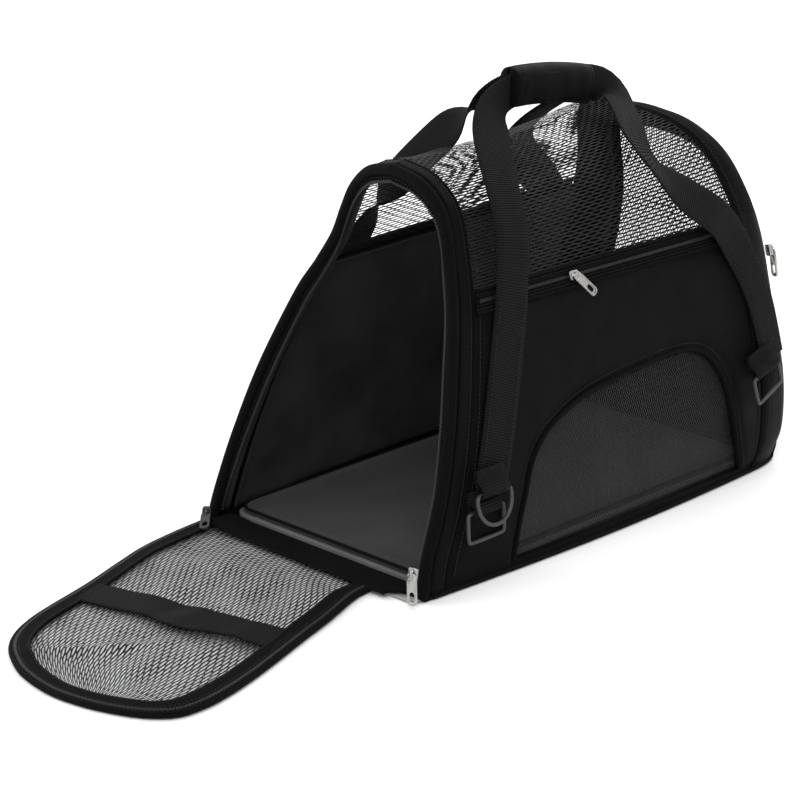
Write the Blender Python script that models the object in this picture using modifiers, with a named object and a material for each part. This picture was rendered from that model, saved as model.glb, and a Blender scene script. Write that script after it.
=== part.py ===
"""Soft-sided pet carrier bag, built as separate sewn and moulded pieces.

Row frame: the origin is the centre of the base's underside, +Z up, +Y along the length towards the rear end.
The door end is at -Y, and the side with the window is at +X. Driving dimensions are in millimetres.
"""
import math

import bmesh
import bpy
from mathutils import Matrix, Vector

MM = 0.001
GAP = 0.3

# Each arch is given as (half width, y, height), from its foot up to the side panel's top, then over the roof.
FRONT_SIDE = [(133, -237, 4.5), (131, -230, 30), (129, -210, 78), (118, -187, 140), (97, -162, 205), (83, -148, 235)]
FRONT_ROOF = [(83, -148, 235), (70, -139, 262), (62, -135, 286), (51, -134, 308), (30, -136, 326), (0, -139, 334)]
REAR_SIDE = [(138, 244, 4.5), (140, 255, 30), (137, 258, 80), (125, 256, 140), (109, 255, 205), (100, 252, 235)]
REAR_ROOF = [(100, 252, 235), (91, 244, 262), (79, 227, 297), (60, 205, 324), (33, 181, 339), (0, 160, 345)]
FRONT_END_CENTRE = Vector((0, -190, 120))
REAR_END_CENTRE = Vector((0, 262, 130))
SIDE_STEPS, ROOF_STEPS = 8, 8
REAR_INSET = 22
REAR_HINGE_Y, REAR_HINGE_Z = 250.0, 14.0                # line at the foot of the rear end that it folds down about
REAR_PANEL_INSET, REAR_PANEL_PROUD, REAR_PANEL_THICK = 5.2, 1.5, 3.0
REAR_FOOT_S, REAR_SPLIT_S, REAR_TOP_S = 0.05, 2.0, SIDE_STEPS + ROOF_STEPS - 0.45
SILL_WIDTH, SILL_HEIGHT, SILL_THICK, SILL_Y = 224.0, 11.0, 2.4, 244.5

ROOF_SAG = 7.0
BELLY = 9.0                            # how far the sides bulge at the base, halfway along
# Shares of the length: the rim's back, and where the gussets meet the side panels, which stop short of the seam.
RIM_SHARE, SEAM_FRONT, SEAM_REAR, SEAM_GAP = 0.018, 0.05, 0.9, 0.002
# Steps up an arch: where the skins start over the base, where the side panels end, and the band over their top edge.
FOOT_S, PANEL_TOP_S, BAND_S = 0.12, SIDE_STEPS - 0.15, (SIDE_STEPS - 0.55, SIDE_STEPS - 0.02)
ZIP_S, ZIP_T = SIDE_STEPS - 0.3, (0.06, 0.885)          # course of the top zip along the near side

PANEL_THICK = 4.0
MESH_THICK = 1.2
GUSSET_THICK = 2.4
BAND_THICK = 1.4
WEBBING_THICK = 2.0
WEBBING_WIDTH = 38.0
RIM_RADIUS = 6.0
REAR_RIM_RADIUS = 4.0
WIRE_RADIUS = 1.8
WIRE_SETBACK = 12.0                    # the frame's wire runs behind the rim, inside the gusset
REAR_WIRE_SETBACK, REAR_WIRE_INSET = 6.0, 5.0

BASE_LENGTH, BASE_WIDTH, BASE_THICK = 480.0, 286.0, 3.0
BASE_CORNER = 24.0
BOARD_THICK, MAT_THICK = 3.0, 6.0
MAT_MARGIN = 20.0

# Window in the near side panel: (y, z) of its outline, a flat-topped arch.
WINDOW = [(-135, 9), (-127, 34), (-119, 56), (-105, 88), (-84, 109), (-56, 122), (-22, 131), (24, 136), (70, 139),
          (104, 139), (123, 136), (138, 129), (150, 117), (160, 97), (167, 64), (174, 24), (178, 9)]
WINDOW_MIDDLE = Vector((35, 0, 60))
WINDOW_CUT_X = (60, 160)
WINDOW_STEPS = 26
WINDOW_MESH_S, WINDOW_MESH_T = (0.2, 5.4), (0.16, 0.885)
PIPING_RADIUS, PIPING_INSET = 2.4, 4.0

# Door flap, in its own plane: u to the near side, v away from the hinge line.
DOOR_HINGE_Y, DOOR_HINGE_Z = -241.0, 4.0
DOOR_OUTLINE = [(88, 24), (104, 44), (113, 75), (117, 115), (115, 160), (109, 205), (101, 248), (87, 290),
                (63, 321), (32, 335)]
DOOR_TIP = 338.0
DOOR_MIDDLE = Vector((0, 0, 150))
DOOR_CLEAR = 1.0                       # height of the open flap's underside over the floor
DOOR_NET_Z = 2.6                       # height of the middle of its mesh and webbing
DOOR_FOOT_HEM = 12.0
DOOR_BORDER = 14.0
DOOR_THICK = 3.0
DOOR_SKEW = math.radians(-12)          # the open flap is turned in its own plane about this point of it
DOOR_PIVOT_V = 80.0
BAND_V, BAND_WIDTH = 165.0, 34.0
HINGE_STRIP_LENGTH, HINGE_STRIP_HALF = 22.0, 104.0
STRIP_THICK = 2.0

# Handles: the centre line of the near loop, from its front seam to its rear seam.
GRIP_X, GRIP_CLEAR = 2.3, 1.5
LOOP_LINE = [(91, -88, 240), (85, -80, 272), (69, -73, 303), (47, -62, 331), (24, -43, 352), (7, -17, 367),
             (GRIP_X, 9, 373), (GRIP_X, 34, 373), (GRIP_X, 60, 371), (GRIP_X, 86, 368), (GRIP_X, 113, 364),
             (13, 129, 356), (38, 120, 341), (62, 108, 322), (82, 109, 301), (95, 127, 279), (104, 153, 259),
             (112, 179, 241)]
LOOP_HINGE = (115, 179, 238)           # a point of the line that the near loop folds outwards about
GRIP_START, GRIP_END = 4.0, 109.0
GRIP_HEIGHT, GRIP_PAD = 34.0, 8.0
FOLDED_WIDTH = 31.0                    # the webbing is folded narrower inside the grip
GRIP_Z, GRIP_TILT = 372.0, math.atan2(-9, 80)           # the grip drops a little towards the rear
FRONT_STRAP = [(-88, 233), (-130, 148), (-157, 85)]     # (y, z) of the sewn straps' centre lines
FAR_FRONT_STRAP = [(-93, 231), (-130, 148), (-157, 85)]
FAR_LOOP_FRONT = [(89, -88, 247), (84, -71, 270), (72, -52, 297), (48, -40, 326), (24, -29, 351), (7, -12, 368)]
REAR_STRAP = [(189, 228), (207, 198), (220, 160), (226, 106)]

RING_WIRE = 2.0
D_RING_WIDTH, D_RING_DROP = 42.0, 30.0
SQUARE_RING_WIDTH, SQUARE_RING_HEIGHT = 44.0, 26.0
D_RING_OUT, SQUARE_RING_OUT, REAR_RING_OUT = 10.0, 4.8, 9.0         # distance of each ring's bar from the skin

D_RING_PLACE = (-162.0, 82.0)          # (y, z) of the bar that each ring hangs on
SQUARE_RING_PLACE = (-168.0, 66.0)
REAR_RING_PLACE = (207.0, 100.0)
NEAR_DOOR_SLIDER = (133.0, -251.0, 31.0)
FAR_DOOR_SLIDER = (-124.0, -249.0, 13.0)
REAR_SLIDER = (97.0, 266.0, 193.0)

PULL_LENGTH, PULL_WIDTH, PULL_THICK = 28.0, 9.0, 1.6
PULL_HEAD, PULL_CLEAR = 1.2, 1.7       # how far a pull reaches past its pivot, and the pivot's height on its slider
PULL_CORNER, PULL_WALL, PULL_SLOT, SLOT_FOOT = 3.5, 2.2, 8.0, 9.0
SLIDER_WIDTH, SLIDER_LENGTH, SLIDER_THICK = 8.0, 11.0, 4.0
ZIP_RADIUS = 1.3
ZIP_CLEAR, ZIP_RISE = 208.0, 10.0      # height where the sewn straps start to rise over the zip, and over how much
STRAP_CLEAR = 2.3                      # height of a sewn strap's underside over the skin
TOP_SLIDER_Y = -17.0
TOP_PULL_TILT = math.radians(39)

FINISHES = {
    "fabric": ((0.013, 0.013, 0.014), 0.75, 0.0),
    "mesh": ((0.02, 0.02, 0.021), 0.7, 0.0),
    "webbing": ((0.011, 0.011, 0.012), 0.65, 0.0),
    "mat": ((0.09, 0.09, 0.095), 0.9, 0.0),
    "board": ((0.25, 0.22, 0.18), 0.8, 0.0),
    "steel": ((0.5, 0.5, 0.5), 0.35, 1.0),
    "nickel": ((0.72, 0.7, 0.66), 0.25, 1.0),
    "plastic": ((0.03, 0.03, 0.032), 0.45, 0.0),
}


def clear_scene():
    for item in list(bpy.data.objects):
        bpy.data.objects.remove(item)


def collection(name):
    group = bpy.data.collections.new(name)
    bpy.context.scene.collection.children.link(group)
    return group


def finish(name, kind):
    colour, roughness, metallic = FINISHES[kind]
    material = bpy.data.materials.new(name)
    material.use_nodes = True
    shader = material.node_tree.nodes["Principled BSDF"]
    shader.inputs["Base Color"].default_value = (*colour, 1)
    shader.inputs["Roughness"].default_value = roughness
    shader.inputs["Metallic"].default_value = metallic
    material.diffuse_color = (*colour, 1)
    return material


def add(name, data, kind):
    item = bpy.data.objects.new(name, data)
    data.materials.append(finish(name, kind))
    PARTS.objects.link(item)
    return item


def smooth_line(points, steps):
    """Catmull-Rom curve through the points, read at even steps of its length."""
    points = [Vector(p) for p in points]
    ends = [2 * points[0] - points[1], *points, 2 * points[-1] - points[-2]]
    fine = []
    for i in range(len(points) - 1):
        a, b, c, d = ends[i:i + 4]
        for k in range(12):
            t = k / 12
            fine.append(0.5 * (2 * b + (c - a) * t + (2 * a - 5 * b + 4 * c - d) * t ** 2
                               + (3 * b - a - 3 * c + d) * t ** 3))
    fine.append(points[-1])
    lengths = [0.0]
    for p, q in zip(fine, fine[1:]):
        lengths.append(lengths[-1] + (q - p).length)
    line, k = [], 0
    for i in range(steps + 1):
        target = lengths[-1] * i / steps
        while k < len(fine) - 2 and lengths[k + 1] < target:
            k += 1
        share = (target - lengths[k]) / (lengths[k + 1] - lengths[k])
        line.append(fine[k].lerp(fine[k + 1], min(share, 1)))
    return line


def half_arch(side, roof):
    return smooth_line(side, SIDE_STEPS) + smooth_line(roof, ROOF_STEPS)[1:]


def mirrored(point):
    return Vector((-point[0], point[1], point[2]))


def full_arch(half):
    return half + [mirrored(p) for p in reversed(half[:-1])]


def at(line, s):
    """Point on a line of evenly numbered points; s counts points and may fall between two."""
    i = min(int(s), len(line) - 2)
    return line[i].lerp(line[i + 1], s - i)


def body_point(s, t):
    """Point on the bag's outer skin: s runs up the near side, over the roof and down, t from front to rear."""
    low = max(0, 1 - min(s, 2 * APEX - s) / 6) ** 1.5
    bulge = BELLY * low * max(math.sin(math.pi * t), 0)
    return at(FRONT, s).lerp(at(REAR, s), t) + Vector((bulge if s < APEX else -bulge, 0, 0))


def gusset_point(s, t):
    """Point on the rear gusset: t runs from its seam, round the corner, to the rear rim."""
    seam, corner, rim = body_point(s, SEAM_REAR), at(REAR, s), at(REAR_RIM, s)
    return (1 - t) ** 2 * seam + 2 * t * (1 - t) * corner + t ** 2 * rim


def shell(name, point, s_values, t_values, kind, thick, raise_by=0.0):
    """Skin over a grid of points, thickened inwards; raise_by lifts it along its normal first."""
    bm = bmesh.new()
    rows = [[bm.verts.new(point(s, t) * MM) for t in t_values] for s in s_values]
    for a, b in zip(rows, rows[1:]):
        for i in range(len(a) - 1):
            bm.faces.new((a[i], a[i + 1], b[i + 1], b[i]))
    bm.normal_update()
    if raise_by:
        moves = [(v, v.normal.copy()) for v in bm.verts]
        for vertex, normal in moves:
            vertex.co += normal * raise_by * MM
    data = bpy.data.meshes.new(name)
    bm.to_mesh(data)
    bm.free()
    item = add(name, data, kind)
    solid = item.modifiers.new("thickness", "SOLIDIFY")
    solid.thickness = thick * MM
    solid.offset = -1
    solid.use_even_offset = True
    return item


def spread(low, high, steps):
    return [low + (high - low) * i / steps for i in range(steps + 1)]


def tube(name, points, radius, kind, cyclic=False, resolution=2):
    data = bpy.data.curves.new(name, "CURVE")
    data.dimensions = "3D"
    data.bevel_depth = radius * MM
    data.bevel_resolution = resolution
    data.use_fill_caps = not cyclic
    spline = data.splines.new("POLY")
    spline.points.add(len(points) - 1)
    for knot, p in zip(spline.points, points):
        knot.co = (*(Vector(p) * MM), 1)
    spline.use_cyclic_u = cyclic
    return add(name, data, kind)


def plate(name, outlines, thick, kind, place=None):
    """Flat plate with the given outlines; an outline inside another is a hole."""
    data = bpy.data.curves.new(name, "CURVE")
    data.dimensions = "2D"
    data.fill_mode = "BOTH"
    data.extrude = thick * MM / 2
    for outline in outlines:
        spline = data.splines.new("POLY")
        spline.points.add(len(outline) - 1)
        for knot, (x, y) in zip(spline.points, outline):
            knot.co = (x * MM, y * MM, 0, 1)
        spline.use_cyclic_u = True
    item = add(name, data, kind)
    if place is not None:
        item.matrix_world = place
    return item


def ribbon(name, line, widthways, widths, thick, kind):
    """Flat webbing along a line, with its width and the direction of it at each point."""
    bm = bmesh.new()
    pairs = []
    for p, across, width in zip(line, widthways, widths):
        edge = across.normalized() * width / 2
        pairs.append((bm.verts.new((p - edge) * MM), bm.verts.new((p + edge) * MM)))
    for (a, b), (c, d) in zip(pairs, pairs[1:]):
        bm.faces.new((a, c, d, b))
    data = bpy.data.meshes.new(name)
    bm.to_mesh(data)
    bm.free()
    item = add(name, data, kind)
    solid = item.modifiers.new("thickness", "SOLIDIFY")
    solid.thickness = thick * MM
    solid.offset = 0
    solid.use_even_offset = True
    return item


def frame_at(origin, x_axis, z_axis):
    """Placement with its own x and z axes (z is made square to x), for an origin in millimetres."""
    x = Vector(x_axis).normalized()
    y = Vector(z_axis).cross(x).normalized()
    z = x.cross(y)
    rotation = Matrix((x, y, z)).transposed().to_4x4()
    return Matrix.Translation(Vector(origin) * MM) @ rotation


def rounded_rectangle(width, length, corner, steps=5):
    outline = []
    centres = [(1, 1), (-1, 1), (-1, -1), (1, -1)]
    for k, (sx, sy) in enumerate(centres):
        for i in range(steps + 1):
            angle = math.pi / 2 * (k + i / steps)
            outline.append((sx * (width / 2 - corner) + corner * math.cos(angle),
                            sy * (length / 2 - corner) + corner * math.sin(angle)))
    return outline


def base_pieces():
    foot = rounded_rectangle(BASE_WIDTH, BASE_LENGTH, BASE_CORNER)
    inner = rounded_rectangle(BASE_WIDTH - 2 * MAT_MARGIN, BASE_LENGTH - 2 * MAT_MARGIN, BASE_CORNER - 8)
    levels = [("base_panel", foot, BASE_THICK, "fabric"), ("base_board", inner, BOARD_THICK, "board"),
              ("floor_mat", inner, MAT_THICK, "mat")]
    z = 0.0
    for name, outline, thick, kind in levels:
        plate(name, [outline], thick, kind, Matrix.Translation((0, 0, (z + thick / 2) * MM)))
        z += thick + GAP


def cut(item, cutter):
    cutter.hide_render = True
    cutter.display_type = "WIRE"
    for group in list(cutter.users_collection):
        group.objects.unlink(cutter)
    CUTTERS.objects.link(cutter)
    boolean = item.modifiers.new("cut", "BOOLEAN")
    boolean.operation = "DIFFERENCE"
    boolean.object = cutter


def prism(name, outline, low, high):
    """Closed prism along X over a (y, z) outline, from x = low to x = high."""
    bm = bmesh.new()
    ends = [[bm.verts.new(Vector((x, y, z)) * MM) for y, z in outline] for x in (low, high)]
    bm.faces.new(ends[0])
    bm.faces.new(list(reversed(ends[1])))
    for i in range(len(outline)):
        j = (i + 1) % len(outline)
        bm.faces.new((ends[0][j], ends[0][i], ends[1][i], ends[1][j]))
    bmesh.ops.recalc_face_normals(bm, faces=bm.faces)
    data = bpy.data.meshes.new(name)
    bm.to_mesh(data)
    bm.free()
    item = bpy.data.objects.new(name, data)
    CUTTERS.objects.link(item)
    return item


def window_line(grow=0.0):
    """Window outline as (y, z), smoothed; grow moves it outwards from the window's middle."""
    line = smooth_line([(y, 0, z) for y, z in WINDOW], WINDOW_STEPS)
    grown = [p + (p - WINDOW_MIDDLE).normalized() * grow for p in line]
    return [(p.x, p.z) for p in grown]


def side_x(y, z):
    """Half width of the near side's outer skin at (y, z)."""
    low, high = 0.0, float(SIDE_STEPS)
    for _ in range(30):
        s = (low + high) / 2
        span = at(REAR, s).y - at(FRONT, s).y
        t = (y - at(FRONT, s).y) / span
        if body_point(s, t).z < z:
            low = s
        else:
            high = s
    return body_point(s, t).x


def skin_x(y, z):
    """Half width of the bag at (y, z), also round the rear corner."""
    best = None
    for i in range(41):
        t = i / 40
        low, high = 0.0, float(SIDE_STEPS) + 2
        for _ in range(24):
            s = (low + high) / 2
            low, high = (s, high) if gusset_point(s, t).z < z else (low, s)
        p = gusset_point(s, t)
        if best is None or abs(p.y - y) < abs(best.y - y):
            best = p
    return best.x if y > body_point(4, SEAM_REAR).y else side_x(y, z)


def side_pieces():
    # The panels stop short of the top band's lower edge and of the base.
    t_values = spread(SEAM_FRONT + SEAM_GAP, SEAM_REAR - SEAM_GAP, 12)
    s_values = spread(FOOT_S, PANEL_TOP_S, 9)
    near = shell("near_side_panel", body_point, s_values, t_values, "fabric", PANEL_THICK)
    cut(near, prism("window_cutter", window_line(), *WINDOW_CUT_X))
    shell("far_side_panel", body_point, [2 * APEX - s for s in reversed(s_values)], t_values, "fabric", PANEL_THICK)

    # The window's mesh lies against the panel's inner face and laps its cut edge.
    def inner_skin(s, t):
        point = body_point(s, t)
        return point - side_normal(s, t) * (PANEL_THICK + 4 * GAP)
    shell("near_window_mesh", inner_skin, spread(*WINDOW_MESH_S, 6), spread(*WINDOW_MESH_T, 10), "mesh", MESH_THICK)

    line = [(side_x(y, z) - PANEL_THICK / 2, y, z) for y, z in window_line(-PIPING_INSET)]
    tube("near_window_piping", line, PIPING_RADIUS, "fabric")


def side_normal(s, t):
    ds = body_point(s + 0.05, t) - body_point(s - 0.05, t)
    dt = body_point(s, t + 0.02) - body_point(s, t - 0.02)
    return dt.cross(ds).normalized()


def roof_point(s, t):
    """Point on the roof's mesh, which sags a little between its seams."""
    across = math.sin(math.pi * (s - SIDE_STEPS) / (2 * ROOF_STEPS))
    share = (t - SEAM_FRONT) / (SEAM_REAR - SEAM_FRONT)
    sag = ROOF_SAG * max(across, 0) * max(math.sin(math.pi * share), 0)
    return body_point(s, t) - Vector((0, 0, sag))


def roof_pieces():
    t_values = spread(SEAM_FRONT + SEAM_GAP, SEAM_REAR - SEAM_GAP, 14)
    low = SIDE_STEPS - 0.1
    shell("roof_mesh", roof_point, spread(low, 2 * APEX - low, 18), t_values, "mesh", MESH_THICK)
    # Webbing bands lie over the seams between the roof and the side panels.
    band = spread(*BAND_S, 2)
    far_band = [2 * APEX - s for s in reversed(band)]
    shell("near_top_band", body_point, band, t_values, "webbing", BAND_THICK, BAND_THICK + GAP)
    shell("far_top_band", body_point, far_band, t_values, "webbing", BAND_THICK, BAND_THICK + GAP)
    line = [zip_point(t) for t in spread(*ZIP_T, 12)]
    tube("top_zip", line, ZIP_RADIUS, "webbing")


def zip_point(t, raise_by=0.0):
    """Centre of the top zip's coil, or a point raised above it."""
    return body_point(ZIP_S, t) + side_normal(ZIP_S, t) * (BAND_THICK + 2 * GAP + ZIP_RADIUS + raise_by)


def rim_point(p, back):
    """Centre of the front rim's tube at a point of the front arch, or a point set back behind it."""
    inward = (FRONT_END_CENTRE - p).normalized()
    return p + inward * (RIM_RADIUS - 1 + back * 0.2) + Vector((0, back, 0))


def end_pieces():
    s_values = spread(FOOT_S, 2 * APEX - FOOT_S, 32)
    front = spread(RIM_SHARE, SEAM_FRONT - SEAM_GAP, 2)
    shell("front_gusset", body_point, s_values, front, "fabric", GUSSET_THICK)
    shell("rear_gusset", gusset_point, s_values, spread(0.01, 0.8, 5), "fabric", GUSSET_THICK)
    tube("front_rim", [rim_point(p, 0) for p in FRONT], RIM_RADIUS, "fabric")
    tube("front_frame_wire", [rim_point(p, WIRE_SETBACK) for p in FRONT], WIRE_RADIUS, "steel")
    tube("rear_rim", REAR_RIM, REAR_RIM_RADIUS, "fabric")
    back = Vector((0, -REAR_WIRE_SETBACK, 0))
    wire = [p + back + (REAR_END_CENTRE - p).normalized() * REAR_WIRE_INSET for p in REAR_RIM]
    tube("rear_frame_wire", wire, WIRE_RADIUS, "steel")


def rear_door_pieces():
    """Rear end: a panel curved with the rear rim, solid low down and mesh above, over a sill on the base."""
    def across(s, t):
        side = at(REAR_RIM, s)
        half = side.x - REAR_PANEL_INSET
        return Vector((half * (1 - 2 * t), side.y + REAR_PANEL_PROUD, side.z))
    low, high = spread(REAR_FOOT_S, REAR_SPLIT_S - 0.02, 4), spread(REAR_SPLIT_S + 0.02, REAR_TOP_S, 12)
    shell("rear_lower_panel", across, low, spread(0, 1, 6), "fabric", REAR_PANEL_THICK)
    shell("rear_mesh", across, high, spread(0, 1, 8), "mesh", MESH_THICK)
    plate("rear_sill", [rounded_rectangle(SILL_WIDTH, SILL_HEIGHT, 2, 2)], SILL_THICK, "fabric",
          frame_at((0, SILL_Y, BASE_THICK + 2 * GAP + SILL_HEIGHT / 2), (1, 0, 0), (0, 1, 0)))


def door_half_line():
    line = [(u, 0, v) for u, v in DOOR_OUTLINE]
    return smooth_line([*line, (0, 0, DOOR_TIP)], 14)


def door_outline(inset=0.0, low=None, high=None):
    """Closed outline of the flap as (u, v), inset from its edge, between two distances from the hinge."""
    half = [p + (DOOR_MIDDLE - p).normalized() * inset for p in door_half_line()]
    half[-1].x = 0
    points = [(p.x, p.z) for p in half] + [(-p.x, p.z) for p in reversed(half[:-1])]
    return clip(points, points[0][1] if low is None else low, DOOR_TIP if high is None else high)


def clip(points, low, high):
    """Cuts a closed (u, v) outline to the strip between v = low and v = high."""
    for limit, sign in ((low, 1), (high, -1)):
        kept = []
        for i, p in enumerate(points):
            q = points[i - 1]
            inside_p, inside_q = sign * (p[1] - limit) >= 0, sign * (q[1] - limit) >= 0
            if inside_p != inside_q:
                share = (limit - q[1]) / (p[1] - q[1])
                kept.append((q[0] + (p[0] - q[0]) * share, limit))
            if inside_p:
                kept.append(p)
        points = kept
    return points


def door_pieces():
    """The flap lies open on the floor, turned a little towards the near side about a point of its middle line."""
    turn = Matrix.Rotation(DOOR_SKEW, 4, "Z")
    flat = Matrix.Diagonal((1, -1, -1, 1))

    def level(z):
        pivot = Matrix.Translation(Vector((0, DOOR_HINGE_Y - DOOR_PIVOT_V, z)) * MM)
        return pivot @ turn.inverted() @ Matrix.Translation((0, DOOR_PIVOT_V * MM, 0)) @ flat
    plate("door_border", [door_outline(), door_outline(DOOR_BORDER)], DOOR_THICK, "fabric",
          level(DOOR_CLEAR + DOOR_THICK / 2))
    inner = DOOR_BORDER + GAP
    foot = door_outline()[0][1] + DOOR_FOOT_HEM
    split_low, split_high = BAND_V - BAND_WIDTH / 2, BAND_V + BAND_WIDTH / 2
    mesh_level = level(DOOR_NET_Z)
    plate("door_lower_mesh", [door_outline(inner, foot, split_low - GAP)], MESH_THICK, "mesh", mesh_level)
    plate("door_upper_mesh", [door_outline(inner, split_high + GAP)], MESH_THICK, "mesh", mesh_level)
    plate("door_band", [door_outline(inner, split_low, split_high)], WEBBING_THICK, "webbing", mesh_level)
    # The strip joins the flap to the base; it lies over the flap's foot.
    half, height = HINGE_STRIP_HALF, DOOR_CLEAR + DOOR_THICK + GAP + STRIP_THICK / 2
    strip = [(-half, 0), (half, 0), (half, HINGE_STRIP_LENGTH), (-half, HINGE_STRIP_LENGTH)]
    plate("door_hinge_strip", [strip], STRIP_THICK, "fabric",
          Matrix.Translation(Vector((0, DOOR_HINGE_Y, height)) * MM) @ flat)


def loop_line(side):
    """Centre line of a handle's loop. The far loop's front leg stands a little further back than the near one's."""
    line = LOOP_LINE if side > 0 else FAR_LOOP_FRONT + LOOP_LINE[len(FAR_LOOP_FRONT):]
    return smooth_line([(side * x, y, z) for x, y, z in line], 36)


def folded_width(point):
    """Width of a loop's webbing: narrower where it runs inside the grip."""
    share = min(max((abs(point.x) - GRIP_X) / 12, 0), 1)
    return FOLDED_WIDTH + (WEBBING_WIDTH - FOLDED_WIDTH) * share


def loop_directions(line, side):
    """Width direction along a loop: its face looks sideways at the grip and a little upwards at its seams."""
    result = []
    for i, p in enumerate(line):
        lean = min(max((abs(p.x) - 3) / 25, 0), 1) * (0.25 + (p.z - 235) / 160)
        outward = Vector((side * math.cos(lean), 0, math.sin(lean)))
        along = line[min(i + 1, len(line) - 1)] - line[max(i - 1, 0)]
        result.append(outward.cross(along).normalized())
    return result


def strap_pieces():
    for side, label in ((1, "near"), (-1, "far")):
        loop = loop_line(side)
        widths = [folded_width(p) for p in loop]
        ribbon(f"{label}_handle_loop", loop, loop_directions(loop, side), widths, WEBBING_THICK, "webbing")
        front = FRONT_STRAP if side > 0 else FAR_FRONT_STRAP
        for place, line in (("front", front), ("rear", REAR_STRAP)):
            sewn_strap(f"{label}_{place}_strap", line, side)
        grip_pad(label, side)


def sewn_strap(name, line, side):
    """Webbing sewn flat on a side: its centre line is given as (y, z)."""
    line = smooth_line([(y, 0, z) for y, z in line], 8)

    def point(k, w):
        p = at(line, k)
        y, z = p.x + w * WEBBING_WIDTH / 2, p.z
        over_zip = min(max((z - ZIP_CLEAR) / ZIP_RISE, 0), 1) * (2 * ZIP_RADIUS + GAP)
        return Vector((side * (skin_x(y, z) + over_zip), y, z))
    rows = [len(line) - 1 - k for k in range(len(line))]
    shell(name, point, rows, [-side, 0, side], "webbing", WEBBING_THICK, WEBBING_THICK + STRAP_CLEAR)


def grip_pad(label, side):
    """Half of the padded wrap: a rounded pad on the outer face of one loop."""
    length = GRIP_END - GRIP_START
    outline = rounded_rectangle(length, GRIP_HEIGHT, 8)
    x = GRIP_X + WEBBING_THICK / 2 + GRIP_CLEAR + GRIP_PAD / 2
    centre = (side * x, (GRIP_START + GRIP_END) / 2, GRIP_Z)
    place = frame_at(centre, (0, math.cos(GRIP_TILT), math.sin(GRIP_TILT)), (side, 0, 0))
    plate(f"{label}_grip_pad", [outline], GRIP_PAD, "fabric", place)


def ring(name, outline, place):
    """Moulded ring: a round wire bent to a closed outline given in its own plane."""
    item = tube(name, [(x, y, 0) for x, y in outline], RING_WIRE, "plastic", cyclic=True)
    item.matrix_world = place
    return item


def d_outline():
    half, steps = D_RING_WIDTH / 2, 8
    arm = D_RING_DROP - half
    curve = [(half * math.cos(math.pi * i / steps), -arm - half * math.sin(math.pi * i / steps))
             for i in range(steps + 1)]
    return [(-half, 0), (0, 0), (half, 0), *curve]


def ring_pieces():
    """Rings at the straps' feet. Each one's own origin is the middle of the bar that it swings on."""
    for side, label in ((1, "near"), (-1, "far")):
        outward, along = (side, 0, 0.18), (0, side, 0)
        x = side * (skin_x(*D_RING_PLACE) + D_RING_OUT)
        ring(f"{label}_front_d_ring", d_outline(), frame_at((x, *D_RING_PLACE), along, outward))
        square = rounded_rectangle(SQUARE_RING_WIDTH, SQUARE_RING_HEIGHT, 3, 2)
        hung = [(x, y - SQUARE_RING_HEIGHT / 2) for x, y in square]
        x = side * (skin_x(*SQUARE_RING_PLACE) + SQUARE_RING_OUT)
        ring(f"{label}_front_square_ring", hung, frame_at((x, *SQUARE_RING_PLACE), along, (side, 0, 0.05)))
        x = side * (skin_x(*REAR_RING_PLACE) + REAR_RING_OUT)
        corner = (side, 0.15, 0.1)
        tilted = (-0.12, 0.85 * side, 0.25 * side)
        ring(f"{label}_rear_ring", hung, frame_at((x, *REAR_RING_PLACE), tilted, corner))


def pull_outline():
    """Outline of a zip pull hanging down from its pivot, and of the slot in its lower half."""
    outer = [(x, y - PULL_LENGTH / 2 + PULL_HEAD)
             for x, y in rounded_rectangle(PULL_WIDTH, PULL_LENGTH, PULL_CORNER, 3)]
    slot = [(x, y - PULL_LENGTH + SLOT_FOOT)
            for x, y in rounded_rectangle(PULL_WIDTH - 2 * PULL_WALL, PULL_SLOT, 2, 2)]
    return [outer, slot]


def slider(name, centre, along, outward, pull_down, kind, pull_face=None):
    """Zip slider with its pull; pull_down is where the pull points, and pull_face the way its flat side looks."""
    body = rounded_rectangle(SLIDER_LENGTH, SLIDER_WIDTH, 2, 3)
    plate(f"{name}_slider", [body], SLIDER_THICK, kind, frame_at(centre, along, outward))
    outward, down = Vector(outward).normalized(), Vector(pull_down).normalized()
    pivot = Vector(centre) + outward * (SLIDER_THICK / 2 + PULL_CLEAR)
    face = Vector(pull_face or outward)
    plate(f"{name}_pull", pull_outline(), PULL_THICK, kind, frame_at(pivot, face.cross(down), face))


def slider_pieces():
    t = 0.5
    for _ in range(20):
        t -= (zip_point(t).y - TOP_SLIDER_Y) / BASE_LENGTH
    along = zip_point(t + 0.01) - zip_point(t - 0.01)
    outward = side_normal(ZIP_S, t)
    down = outward.cross(along).normalized()
    down = down if down.z < 0 else -down
    hang = down * math.cos(TOP_PULL_TILT) + along.normalized() * math.sin(TOP_PULL_TILT)
    slider("top_zip", zip_point(t, ZIP_RADIUS + GAP + SLIDER_THICK / 2), along, outward, hang, "nickel")
    slider("near_door_zip", NEAR_DOOR_SLIDER, (0, 0.1, 1), (0.35, -1, 0.1), (0.1, -0.05, -1), "nickel")
    slider("far_door_zip", FAR_DOOR_SLIDER, (0, 0.1, 1), (0.6, -0.8, 0.1), (0.7, -0.7, -0.16), "plastic",
           (0, -0.2, 1))
    slider("rear_zip", REAR_SLIDER, (0.25, 0.02, -1), (0.35, 1, 0.1), (0.15, 0.1, -1), "nickel")


def turn_about(names, point):
    """Moves the pieces' own origins to a point (in millimetres) of the axis that they turn about."""
    for name in names:
        item = PARTS.objects[name]
        offset = item.matrix_world.inverted() @ (Vector(point) * MM)
        item.data.transform(Matrix.Translation(-offset))
        item.matrix_world = item.matrix_world @ Matrix.Translation(offset)


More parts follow.
